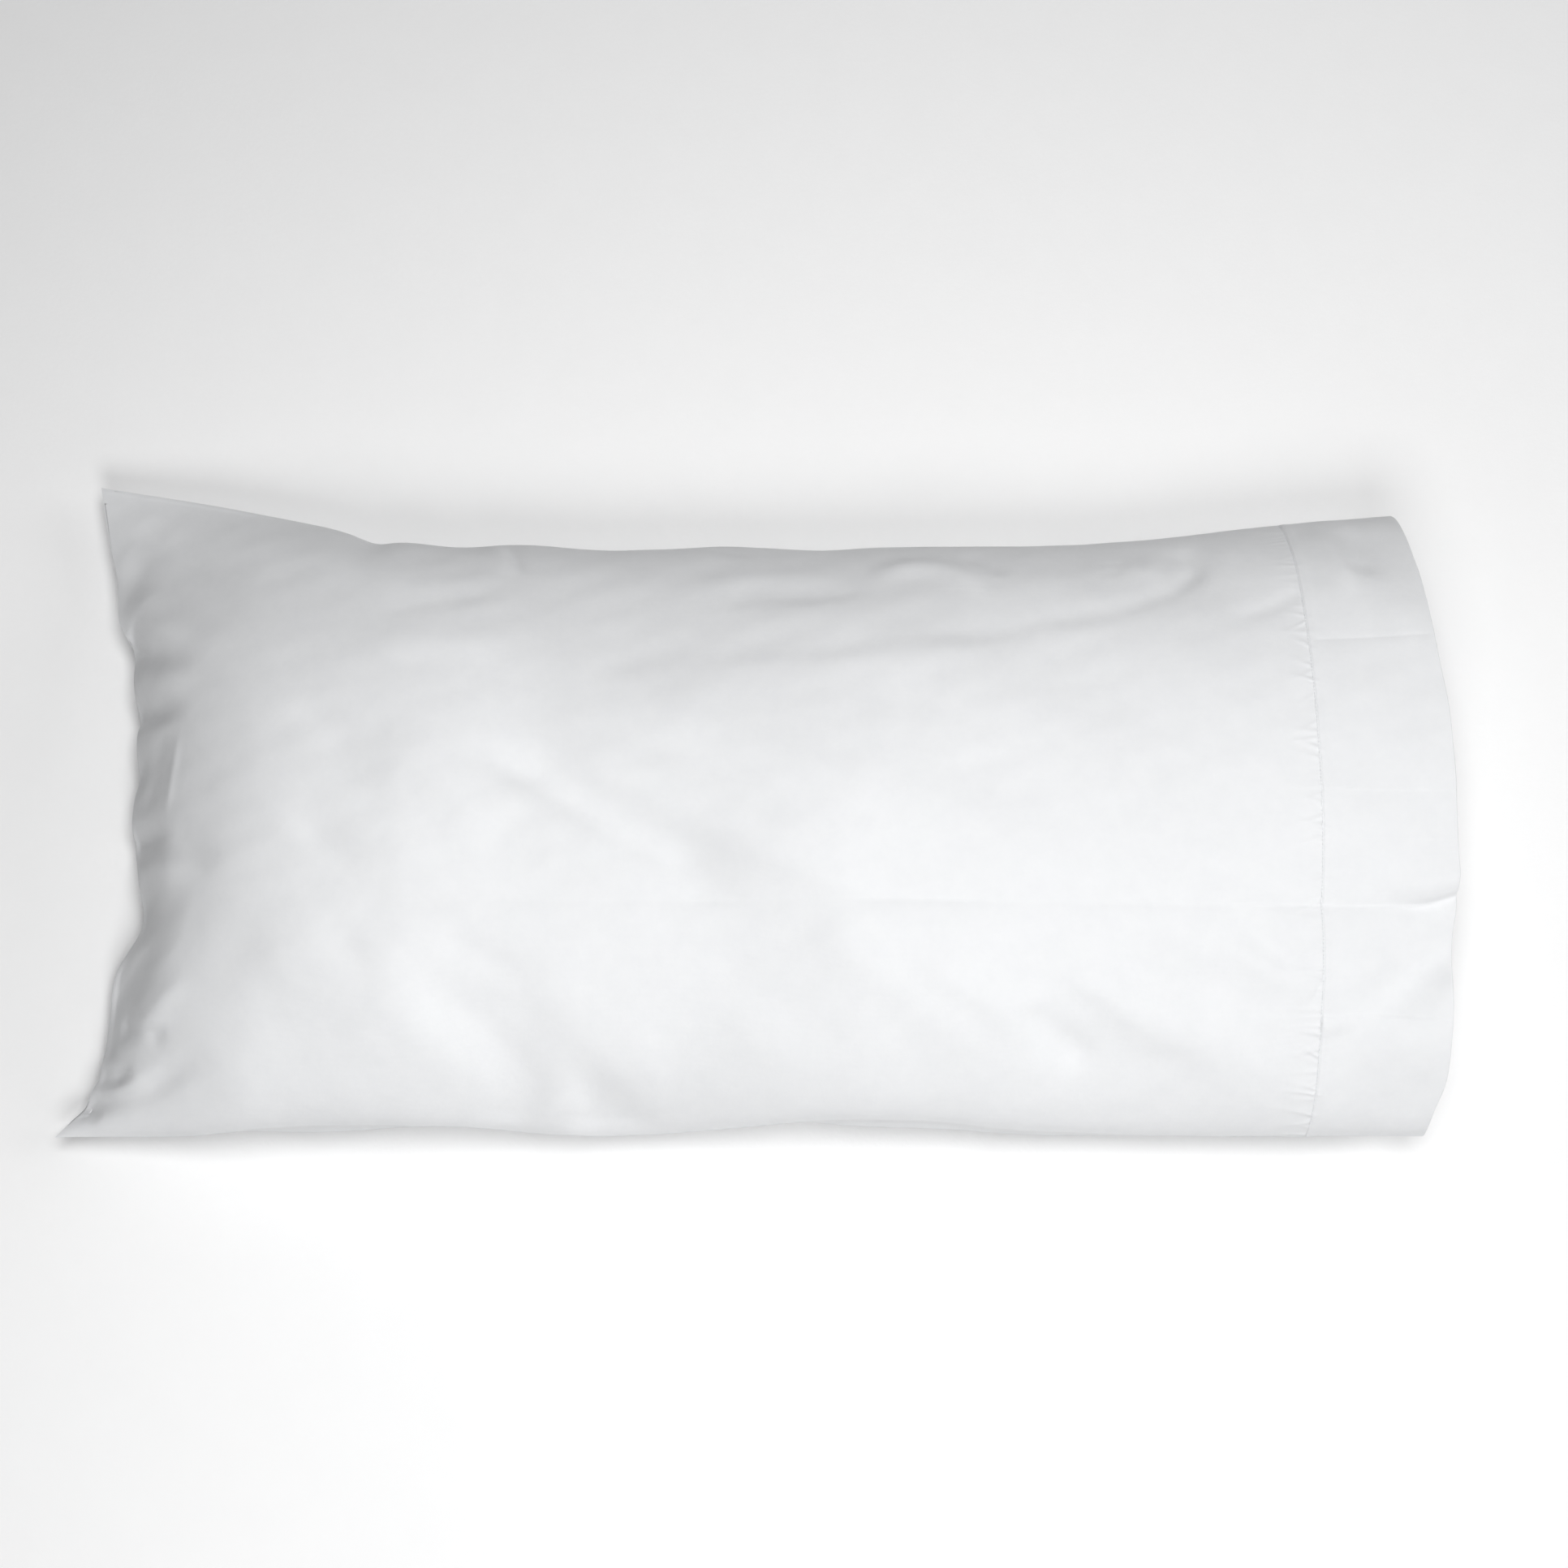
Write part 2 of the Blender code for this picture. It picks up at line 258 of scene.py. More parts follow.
def quads(number, turned=False):
    """The quads of a grid of vertex numbers."""
    corners = [number[:-1, :-1], number[1:, :-1], number[1:, 1:], number[:-1, 1:]]
    return np.stack(corners[::-1] if turned else corners, axis=2).reshape(-1, 4)


# The filled form of the case, from its outline in plan and its sections


far_edge = through(
    (BACK, FAR), (-0.38, 0.2225), (-0.300, 0.2025), (-0.274, 0.1925), (-0.262, 0.1945), (-0.215, 0.1905),
    (-0.175, 0.1925), (-0.10, 0.188), (-0.050, 0.1895), (-0.020, 0.191), (0.060, 0.188), (0.100, 0.1905),
    (0.240, 0.192), (0.30, 0.1965), (0.40, 0.208), (MOUTH, 0.217),
)
# The same without its small steps.
far_trend = through(
    (BACK, FAR), (-0.38, 0.2225), (-0.28, 0.200), (-0.17, 0.1905), (0.10, 0.1895), (0.24, 0.192),
    (0.30, 0.1965), (0.40, 0.208), (MOUTH, 0.217),
)
near_edge = through(
    (BACK, -0.247), (-0.40, -0.2485), (-0.30, -0.243), (-0.21, -0.243), (-0.11, -0.248), (0.0, -0.243),
    (0.06, -0.240), (0.12, -0.240), (0.20, -0.246), (0.35, -0.2485), (MOUTH, -0.2485),
)
# Where the closed end's seam and the mouth lie along X, by the share of the width from the near side.
end_edge = through(
    (0.0, -0.4965), (0.03, -0.483), (0.06, -0.474), (0.10, -0.468), (0.17, -0.464), (0.24, -0.461),
    (0.275, -0.451), (0.31, -0.442), (0.40, -0.4445), (0.445, -0.4535), (0.54, -0.454), (0.65, -0.4575),
    (0.745, -0.4605), (0.785, -0.4725), (0.845, -0.4755), (0.91, -0.4855), (1.0, -0.4955),
)
# The same without its small steps, which the filling further in doesn't feel.
end_trend = through(
    (0.0, -0.4965), (0.06, -0.478), (0.2, -0.461), (0.33, -0.447), (0.5, -0.452), (0.72, -0.462),
    (0.88, -0.481), (1.0, -0.4955),
)
mouth_edge = through(
    (0.0, 0.484), (0.03, 0.4865), (0.05, 0.4895), (0.07, 0.492), (0.12, 0.4925), (0.2, 0.4925),
    (0.25, 0.494), (0.31, 0.497), (0.37, 0.499), (0.42, 0.4985), (0.6, 0.498), (0.72, 0.4935),
    (0.85, 0.4905), (1.0, 0.486),
)
# How high the side seams lie.
near_seam_height = through(
    (BACK, 0.026), (-0.42, 0.040), (-0.34, 0.060), (-0.24, 0.062), (-0.14, 0.046), (-0.06, 0.046),
    (0.08, 0.068), (0.17, 0.060), (0.26, 0.048), (MOUTH, 0.050),
)
far_seam_height = through((BACK, 0.030), (-0.35, 0.055), (-0.25, 0.060), (MOUTH, 0.060))
# How far the lower layer stands out past the near seam.
lower_bulge = through(
    (BACK, 0.0), (-0.38, 0.002), (-0.30, 0.009), (-0.22, 0.006), (-0.16, 0.0), (0.0, 0.0), (0.08, 0.009),
    (0.20, 0.008), (0.32, 0.006), (MOUTH, 0.004),
)
# How full the case is, by the distance in from the closed end's seam.
end_rise = through(
    (0.0, 0.0), (0.020, 0.30), (0.042, 0.58), (0.065, 0.72), (0.09, 0.81), (0.14, 0.925), (0.21, 1.0)
)


def swell(along, across):
    """How full the case is, 0 to 1. along is metres in from the closed end, across from -1 to 1."""
    flare = (1 - smooth(along, 0.02, 0.24)) * smooth(across, -0.1, 0.9)
    flatness = 2.2 - 0.3 * flare
    softness = 0.62 + 0.10 * smooth(across, 0, 1) + 0.50 * flare
    return np.clip(1 - np.abs(across) ** flatness, 0, 1) ** softness * end_rise(along)


def seam_height(x, width):
    """The height of the side seams, carried across the case. width is the share from the near side."""
    return near_seam_height(x) * (1 - width) + far_seam_height(x) * width


def case_top(x, width):
    """The height of the case's upper layer at x and this share of the width from the near side."""
    rise, sunk_at_mouth, reach_of_steps = LOFT - 0.064, 0.07, 0.03
    settle = 1 - sunk_at_mouth * smooth(x, 0.34, MOUTH)
    near_end = np.exp(-np.maximum(x - end_edge(width), 0) / reach_of_steps)
    inward = x - end_edge(width) * near_end - end_trend(width) * (1 - near_end)
    return seam_height(x, width) + rise * settle * swell(inward, 2 * width - 1)


def case_form(rows, columns):
    """The filled case as its upper and lower layer."""
    share = np.linspace(0, 1, columns + 1)[None, :]
    along = np.linspace(0, 1, rows + 1)[:, None]
    evenness, reach_of_steps = 0.25, 0.06
    width = (1 - evenness) * (0.5 - 0.5 * np.cos(np.pi * share)) + evenness * share
    x = end_edge(width) + (mouth_edge(width) - end_edge(width)) * along
    near, far = near_edge(x), far_trend(x)
    y = near + (far - near) * width + (far_edge(x) - far) * np.exp((width - 1) / reach_of_steps)
    seam = seam_height(x, width)
    upper = np.stack([x, y, case_top(x, width)], axis=2)
    # The lower layer curves down from its seams, and its middle lies on the bed.
    down_within, pressed = 0.13, 1.12
    under = np.clip(1 - np.abs(2 * width - 1) ** 2.6, 0, 1) ** 0.55
    under = under * np.clip((x - end_edge(width)) / down_within, 0, 1) ** 0.7
    low = np.maximum(FLOOR + SIM_OFF_FLOOR, seam - pressed * seam * under)
    belly = lower_bulge(x) * hump(width - 0.020, 0.030) * smooth(width, 0, 0.012)
    lower = np.stack([x + 0 * width, y - belly, low], axis=2)
    return sewn(upper, lower, open_mouth=True)


def insert_form(rows, columns):
    """The filled insert as its upper and lower layer, inside the line of its edge cord."""
    low, high = CORD_LOW + Vector([CORD_RADIUS] * 3), CORD_HIGH - Vector([CORD_RADIUS] * 3)
    across = np.linspace(-1, 1, columns + 1)[None, :]
    along = np.linspace(-1, 1, rows + 1)[:, None]
    rounding, drawn_in = 0.022, 0.009
    half_x = (high.x - low.x) / 2 - rounding * across**12 - drawn_in * (1 - across**2)
    half_y = (high.y - low.y) / 2 - rounding * along**20 - drawn_in * (1 - along**2)
    x = (high.x + low.x) / 2 + half_x * along
    y = (high.y + low.y) / 2 + half_y * across
    from_end = half_x * (1 - np.abs(along))
    end = (1 - np.clip(1 - from_end / 0.19, 0, 1) ** 2.3) ** 0.8
    side = np.clip(1 - np.abs(across) ** 2.4, 0, 1) ** 0.6
    below_top, below_case = 0.003, 0.010
    top = low.z + (INSERT_TOP - below_top - low.z) * side * end
    width = np.clip((y - near_edge(x)) / (far_edge(x) - near_edge(x)), 0, 1)
    top = np.minimum(top, np.maximum(case_top(x, width) - below_case, low.z))
    upper = np.stack([x, y, top], axis=2)
    depth = 1.15 * (low.z - INSERT_BOTTOM) * side**0.8 * end**0.8
    lower = np.stack([x, y, np.maximum(INSERT_BOTTOM + SIM_OFF_FLOOR, low.z - depth)], axis=2)
    return sewn(upper, lower, open_mouth=False)


# The cloth simulation


def tube_faces(rows, columns, open_mouth):
    """Vertex numbers of both layers, which share their seams, and the quads of the sewn cover."""
    upper = np.arange((rows + 1) * (columns + 1)).reshape(rows + 1, columns + 1)
    lower = upper.copy()
    inner = lower[1:, 1:-1] if open_mouth else lower[1:-1, 1:-1]
    inner[:] = upper.size + np.arange(inner.size).reshape(inner.shape)
    return upper, lower, np.concatenate([quads(upper), quads(lower, turned=True)])


# How the cover's cloth behaves: crisp, light and blown up a little by its filling.
CLOTH_SETTINGS = {
    "quality": 6,
    "mass": 0.002,
    "tension_stiffness": 15,
    "compression_stiffness": 15,
    "shear_stiffness": 12,
    "bending_stiffness": 0.01,
    "tension_damping": 1,
    "compression_damping": 1,
    "shear_damping": 1,
    "bending_damping": 0.5,
    "air_damping": 1,
    "use_pressure": True,
    "uniform_pressure_force": 0.3,
    "vertex_group_mass": "held",
    "pin_stiffness": 1.0,
}


def relax(upper, lower, cut, hold, open_mouth, seed):
    """Lets cloth that was cut to the flat size (length, width) settle over the filled form.

    hold is how firmly the filling under the upper layer keeps the cloth where the form puts it.
    """
    rows, columns = upper.shape[0] - 1, upper.shape[1] - 1
    first, second, faces = tube_faces(rows, columns, open_mouth)
    count = second.max() + 1
    points, flat = np.zeros((count, 3)), np.zeros((count, 3))
    points[second], points[first] = lower, upper
    unevenness = 0.0004
    points += np.random.default_rng(seed).normal(0, unevenness, points.shape)
    sides = np.linspace(0, cut[0], rows + 1), np.linspace(0, cut[1], columns + 1)
    flat[second, :2] = flat[first, :2] = np.stack(np.meshgrid(*sides, indexing="ij"), axis=2)
    mesh = bpy.data.meshes.new("cloth")
    mesh.from_pydata(points.tolist(), [], faces.tolist())
    cloth = bpy.data.objects.new("cloth", mesh)
    bpy.context.scene.collection.objects.link(cloth)
    cloth.shape_key_add(name="filled")
    key = cloth.shape_key_add(name="flat_cut")
    key.data.foreach_set("co", flat.astype(np.float32).ravel())
    held = cloth.vertex_groups.new(name="held")
    on_bed, at_side, at_end = 0.6, 0.9, 0.5
    weight = np.full(count, hold)
    weight[second[1:-1, 1:-1]] = on_bed
    for grid in (first, second):
        weight[grid[:, 0]] = weight[grid[:, -1]] = at_side
        weight[grid[0]] = weight[grid[-1]] = at_end
    for i, w in enumerate(weight):
        held.add([i], float(w), "REPLACE")
    modifier = cloth.modifiers.new("Cloth", "CLOTH")
    for name, value in CLOTH_SETTINGS.items():
        setattr(modifier.settings, name, value)
    modifier.settings.rest_shape_key = key
    modifier.settings.effector_weights.gravity = 0
    modifier.collision_settings.use_collision = False
    last_frame = 24
    modifier.point_cache.frame_start, modifier.point_cache.frame_end = 1, last_frame
    scene = bpy.context.scene
    for number in range(1, last_frame + 1):
        scene.frame_set(number)
    settled = cloth.evaluated_get(bpy.context.evaluated_depsgraph_get()).to_mesh()
    co = np.zeros(count * 3, np.float32)
    settled.vertices.foreach_get("co", co)
    co = co.reshape(-1, 3).astype(float)
    bpy.data.objects.remove(cloth)
    scene.frame_set(1)
    return upper + unrippled(co[first] - upper), lower + unrippled(co[second] - lower)


def unrippled(shift):
    """The cloth's shift from its form without the ripples that are finer than crisp percale takes."""
    passes = 4
    for _ in range(passes):
        shift[1:-1] = (shift[:-2] + 2 * shift[1:-1] + shift[2:]) / 4
        shift[:, 1:-1] = (shift[:, :-2] + 2 * shift[:, 1:-1] + shift[:, 2:]) / 4
    return shift


# Folds, in plan. A fold's left is the left of someone who walks along its line.


def fold(*line, lift, reach, left=None, ease=(0.3, 0.3), section="round"):
    """A ridge, or with a negative lift a valley, along the line, all in millimetres.

    reach is its half width, and left that of its left side. It eases in and out over these shares of its
    length. A sharp section comes to an edge, as at a crease. A step drops or rises on the line's right and
    stays there.
    """
    left = left or reach
    return {
        "line": np.array(line) / 1000,
        "lift": lift / 1000,
        "reach": reach / 1000,
        "left": left / 1000,
        "ease": ease,
        "section": section,
    }


def beside(x, y, line):
    """How far each plan point is from the line, positive on its left, and its share of the way along."""
    path = line
    if len(line) > 2:
        curve = spline(line, np.linspace(0, 1, 4 * len(line)))
        path = np.concatenate([line[:1], curve, line[-1:]])
    along = np.concatenate([[0], np.cumsum(np.hypot(*np.diff(path, axis=0).T))])
    away, share = np.full(x.shape, np.inf), np.zeros(x.shape)
    for start, end, before, after in zip(path[:-1], path[1:], along[:-1], along[1:]):
        if after - before < 1e-9:
            continue
        (ax, ay), (dx, dy) = start, end - start
        t = np.clip(((x - ax) * dx + (y - ay) * dy) / (dx * dx + dy * dy), 0, 1)
        right, up = x - ax - t * dx, y - ay - t * dy
        far = np.hypot(right, up) * np.where(dx * up - dy * right < 0, -1, 1)
        nearer = np.abs(far) < np.abs(away)
        away = np.where(nearer, far, away)
        share = np.where(nearer, (before + t * (after - before)) / along[-1], share)
    return away, share


def lifted(x, y, folds, sway=0.0016):
    """How far the folds lift the cloth at each plan point. sway is how far their lines stray."""
    x_swayed = x + sway * wander(x, y, 0.07, 11)
    y_swayed = y + sway * wander(x, y, 0.06, 12)
    total = np.zeros(x.shape)
    for one in folds:
        reaches_felt = 8 if one["section"] == "step" else 2.6
        widest = reaches_felt * max(one["reach"], one["left"])
        low, high = one["line"].min(0) - widest, one["line"].max(0) + widest
        near = (x_swayed > low[0]) & (x_swayed < high[0]) & (y_swayed > low[1]) & (y_swayed < high[1])
        if not near.any():
            continue
        away, share = beside(x_swayed[near], y_swayed[near], one["line"])
        reach = np.where(away > 0, one["left"], one["reach"])
        rise, fall = one["ease"]
        ends = (smooth(share, 0, rise) if rise else 1) * (1 - smooth(share, 1 - fall, 1) if fall else 1)
        if one["section"] == "step":
            section = smooth(-away, 0, one["reach"]) * hump(away, 3 * one["reach"])
        else:
            section = np.exp(-np.abs(away) / reach) if one["section"] == "sharp" else hump(away, reach)
        total[near] += one["lift"] * section * ends
    return total


MAIN_FOLDS = [
    # Long diagonals, pulled from the far side of the closed end towards the middle of the near side.
    fold((-205, 22), (-155, -3), (-87, -49), (-42, -72), (14, -94), lift=-6.6, reach=14, left=30),
    fold((-179, 40), (-110, 3), (-31, -38), (50, -74), (120, -93), lift=5, reach=17, left=34),
    fold((-101, 71), (-32, 33), (25, -6), (70, -38), (114, -89), lift=6.6, reach=21, left=40),
    fold((-330, 52), (-290, 12), (-240, -30), lift=-3.2, reach=11, left=20, ease=(0.5, 0.5)),
    fold((-335, -12), (-298, -48), (-255, -84), lift=-2.8, reach=10, left=18, ease=(0.5, 0.5)),
    fold((-255, 30), (-205, -15), (-165, -60), lift=3, reach=18),
    fold((120, 45), (155, 25), (165, -5), lift=1.4, reach=18, left=24),
    # The long lobe along the far side, and the valley round its blunt end.
    fold((-124, 58), (-38, 66), (48, 72), (135, 81), (222, 93), (290, 110),
         lift=1.1, reach=22, left=12, ease=(0.4, 0.4)),
    fold((-124, 73), (-38, 82), (48, 88), (135, 98), (222, 110), (290, 128),
         lift=-0.8, reach=11, left=20, ease=(0.6, 0.2)),
    fold((180, 102), (240, 114), (290, 128), (320, 142), (331, 157), (324, 172), (306, 181),
         lift=-1.7, reach=9, ease=(0.75, 0.2)),
    fold((316, 140), (331, 152), (331, 168), (318, 181), lift=-1.6, reach=7, ease=(0.4, 0.3)),
    fold((240, 152), (270, 158), (295, 161), (308, 158), lift=2.2, reach=14, ease=(0.6, 0.2)),
    fold((262, 146), (272, 158), (270, 172), lift=-1.2, reach=5, ease=(0.4, 0.3)),
    fold((88, 150), (118, 166), (150, 162), (166, 142), (156, 123), lift=2.8, reach=11, left=9),
    fold((160, 180), (182, 166), (188, 148), lift=-2, reach=6, left=10),
    fold((-33, 127), (48, 131), (107, 146), lift=-1.2, reach=8, left=12),
    fold((-60, 142), (20, 149), (90, 162), lift=0.8, reach=11),
    fold((-262, 120), (-209, 131), (-176, 142), lift=-0.9, reach=8, left=14),
    fold((-250, 140), (-205, 148), (-170, 155), lift=0.6, reach=10),
    fold((-290, 88), (-230, 95), (-150, 93), lift=1, reach=14),
    fold((-42, 194), (7, 177), lift=-2, reach=6, ease=(0.1, 0.4)),
    fold((-179, 194), (-170, 176), (-158, 154), lift=-2, reach=5, ease=(0.1, 0.4)),
    fold((-190, 190), (-182, 172), (-168, 152), lift=1.2, reach=6, ease=(0.1, 0.4)),
    # The near side: a broad sag whose rim runs down to the seam, with ridges and valleys in it.
    fold((-215, -105), (-170, -118), (-135, -160), (-102, -187), (-52, -214), (-36, -236),
         lift=3.4, reach=20, left=36, ease=(0.4, 0.3)),
    fold((-245, -135), (-200, -165), (-165, -200), (-145, -238),
         lift=-4, reach=30, left=18, ease=(0.4, 0.1)),
    fold((-215, -128), (-182, -134), (-155, -144), (-138, -160),
         lift=-2.2, reach=10, left=12, ease=(0.3, 0.5)),
    fold((-262, -150), (-222, -180), (-190, -212), (-172, -240), lift=1.4, reach=16),
    fold((-132, -194), (-101, -201), (-71, -220), (-36, -240),
         lift=-4.2, reach=30, ease=(0.4, 0.3), section="step"),
    fold((192, -128), (232, -150), (271, -172), (316, -191), (362, -206), lift=5, reach=15, left=18),
    fold((240, -128), (305, -150), (368, -172), lift=-3.4, reach=10, left=18),
    fold((110, -126), (159, -159), (232, -198), lift=3.4, reach=14, left=22),
    fold((188, -164), (215, -190), (250, -206), lift=-5.2, reach=14, left=12),
    fold((40, -112), (105, -158), (170, -204), lift=2.6, reach=17),
    fold((-40, -122), (30, -170), (90, -215), lift=-2.4, reach=20),
    fold((-298, -92), (-272, -128), (-252, -175), lift=-1.2, reach=12, ease=(0.5, 0.5)),
    fold((-342, -85), (-320, -125), (-296, -176), lift=1.1, reach=14, ease=(0.5, 0.5)),
    # Beside and on the cuff.
    fold((322, -104), (362, -127), (398, -145), lift=-3.4, reach=8, left=14, ease=(0.5, 0.3)),
    fold((328, -124), (365, -143), (398, -160), lift=1.8, reach=10, ease=(0.5, 0.05)),
    fold((401, -182), (415, -183), (430, -181), lift=1.8, reach=5, ease=(0.05, 0.4)),
    fold((400, -196), (455, -156), (500, -122), lift=-9, reach=19, left=22, ease=(0.6, 0)),
    fold((415, -226), (460, -192), (498, -166), lift=4, reach=20, ease=(0.6, 0)),
    fold((418, 206), (430, 180), (434, 150), (447, 130), lift=2.6, reach=11, left=9),
    fold((446, 204), (455, 172), (452, 145), lift=-2.2, reach=10),
    fold((350, 112), (380, 122), (399, 134), lift=-0.9, reach=7, ease=(0.4, 0.05)),
]

END_FOLDS = [
    # The far corner's long soft diagonals.
    fold((-474, 188), (-431, 146), (-380, 98), lift=-4, reach=12, left=15, ease=(0.2, 0.6)),
    fold((-468, 160), (-425, 120), (-375, 80), lift=3.4, reach=14, ease=(0.2, 0.6)),
    fold((-464, 216), (-411, 170), (-350, 128), lift=-2.2, reach=14, ease=(0.2, 0.6)),
    fold((-470, 124), (-436, 104), (-390, 84), lift=-5.2, reach=10, left=13, ease=(0.1, 0.6)),
    fold((-466, 94), (-430, 82), (-390, 66), lift=3.4, reach=11, ease=(0.1, 0.6)),
    # Deep pockets between the puckers of the end seam.
    fold((-470, 68), (-440, 60), (-400, 44), lift=-9.8, reach=9, left=12, ease=(0, 0.6)),
    fold((-470, 22), (-448, 20), (-424, 14), lift=-9, reach=14, left=13, ease=(0, 0.8)),
    fold((-408, 36), (-411, 4), (-414, -26), lift=1.5, reach=3.5, ease=(0.4, 0.3)),
    fold((-424, 40), (-430, 4), (-433, -20), lift=-3.6, reach=11),
    fold((-470, -28), (-434, -36), (-404, -42), lift=-11.2, reach=13, left=8, ease=(0, 0.5)),
    fold((-430, -36), (-396, -46), (-376, -62), (-380, -85),
         lift=-3.6, reach=10, left=14, ease=(0.4, 0.5)),
    fold((-456, -62), (-422, -62), (-386, -72), lift=4.4, reach=10, ease=(0.2, 0.6)),
    fold((-458, -82), (-434, -84), (-412, -84), lift=-8, reach=12, left=10, ease=(0, 0.8)),
    fold((-440, -112), (-414, -106), (-385, -98), lift=3.4, reach=13, ease=(0, 0.6)),
    fold((-378, -64), (-384, -92), (-400, -124), (-430, -156), (-464, -188),
         lift=-8.5, reach=26, ease=(0.5, 0), section="step"),
    fold((-404, -122), (-428, -146), (-462, -180), lift=-5, reach=16, left=9, ease=(0.5, 0)),
    fold((-386, -138), (-412, -165), (-440, -190), lift=3, reach=9, left=12, ease=(0.4, 0.3)),
    fold((-452, -168), (-422, -178), (-402, -184), lift=-3.6, reach=8, left=6, ease=(0.2, 0.3)),
    fold((-478, -200), (-456, -206), (-434, -205), lift=-6.4, reach=8, ease=(0, 0.4)),
    fold((-466, -216), (-440, -215), (-405, -207), lift=2.6, reach=8, ease=(0.3, 0.5)),
    fold((-370, -196), (-420, -219), (-474, -226), lift=-3.6, reach=10, ease=(0.5, 0)),
    fold((-488, -224), (-474, -232), (-460, -240), lift=-2.6, reach=7, ease=(0, 0.3)),
]

# Where the near seam drops and takes the cloth above it down.
SIDE_DROPS = [
    fold((-124, -252), (-90, -250), (-50, -248), (-5, -246),
         lift=-6.5, reach=22, left=28, ease=(0.2, 0.6)),
]

# Where the pockets draw the end seam in and down: (place across, pull, reach).
SEAM_PULLS = [
    (0.190, 0.0016, 0.016), (0.126, 0.0026, 0.012), (0.066, 0.0036, 0.010), (0.020, 0.0034, 0.013),
    (-0.032, 0.0042, 0.009), (-0.082, 0.0030, 0.011), (-0.187, 0.0030, 0.012), (-0.225, 0.0020, 0.008),
]

# The crease that ironing left, lengthwise, and a fainter one on the cuff.
CREASES = [
    fold((-360, -94), (-310, -96), (-8, -99), (382, -100), (475, -101), (496, -90),
         lift=-2.1, reach=6, left=14, ease=(0.5, 0), section="sharp"),
    fold((280, -101), (382, -100.5), (470, -101.5), (497, -92),
         lift=-6, reach=28, left=24, ease=(0.6, 0), section="sharp"),
    fold((452, -104), (480, -101), (500, -92), lift=-3, reach=7, left=3, ease=(0.5, 0)),
    fold((445, -90), (478, -87), (500, -79), lift=2.6, reach=9, ease=(0.5, 0)),
    fold((402, 94), (450, 96), (494, 99), lift=-0.5, reach=4, ease=(0.1, 0.1), section="sharp"),
]


# Laying the folds, puckers and seams into the settled cloth


def clear_of(layer, other, gap):
    """The layer, raised to stay this far above the other. With a negative gap it's lowered below it."""
    cell, margin = 0.005, 5
    way = -1 if np.min(gap) < 0 else 1
    size = [int(length / cell) + 2 * margin + 2 for length in (MOUTH - BACK, FAR - NEAR)]
    bound = np.full(size, -1.0)

    def cells(points):
        i = ((points[..., 0] - BACK) / cell + margin).astype(int)
        j = ((points[..., 1] - NEAR) / cell + margin).astype(int)
        return np.clip(i, 0, size[0] - 1), np.clip(j, 0, size[1] - 1)

    np.maximum.at(bound, cells(other), way * other[..., 2])
    kept = layer.copy()
    kept[..., 2] = way * np.maximum(way * layer[..., 2], bound[cells(layer)] + way * gap)
    return kept


def hem_puckers(seed):
    """The small tucks that the cuff's stitching gathers.

    Each is its place across, height, half width, lean, and the share of it that shows on the cuff.
    """
    draw = np.random.default_rng(seed)
    found, place = [], 0.004
    while place < FLAT_WIDTH * 1.03:
        strength = draw.uniform(0.25, 1.0) ** 1.6 * (1 - 0.75 * smooth(place, 0.24, 0.44))
        shape = draw.uniform(0.0012, 0.0023), draw.normal(0, 0.35), draw.uniform(0.1, 0.6)
        found.append((place, PUCKER_HEIGHT * strength, *shape))
        place += draw.uniform(0.0035, 0.0095)
    return found


def gathered(across, beyond, puckers):
    """How far the hem's tucks lift the cloth. beyond is the distance past the cuff seam."""
    on_cuff = beyond > 0
    away, reach = np.abs(beyond), np.where(on_cuff, 0.0040, 0.0100)
    fade = np.exp(-away / reach) * smooth(away, 0.0, 0.0008)
    total = np.zeros(across.shape)
    for place, height, half_width, lean, share in puckers:
        aside = across - place - lean * beyond
        total += height * hump(aside, half_width) * np.where(on_cuff, share, 1)
    return total * fade


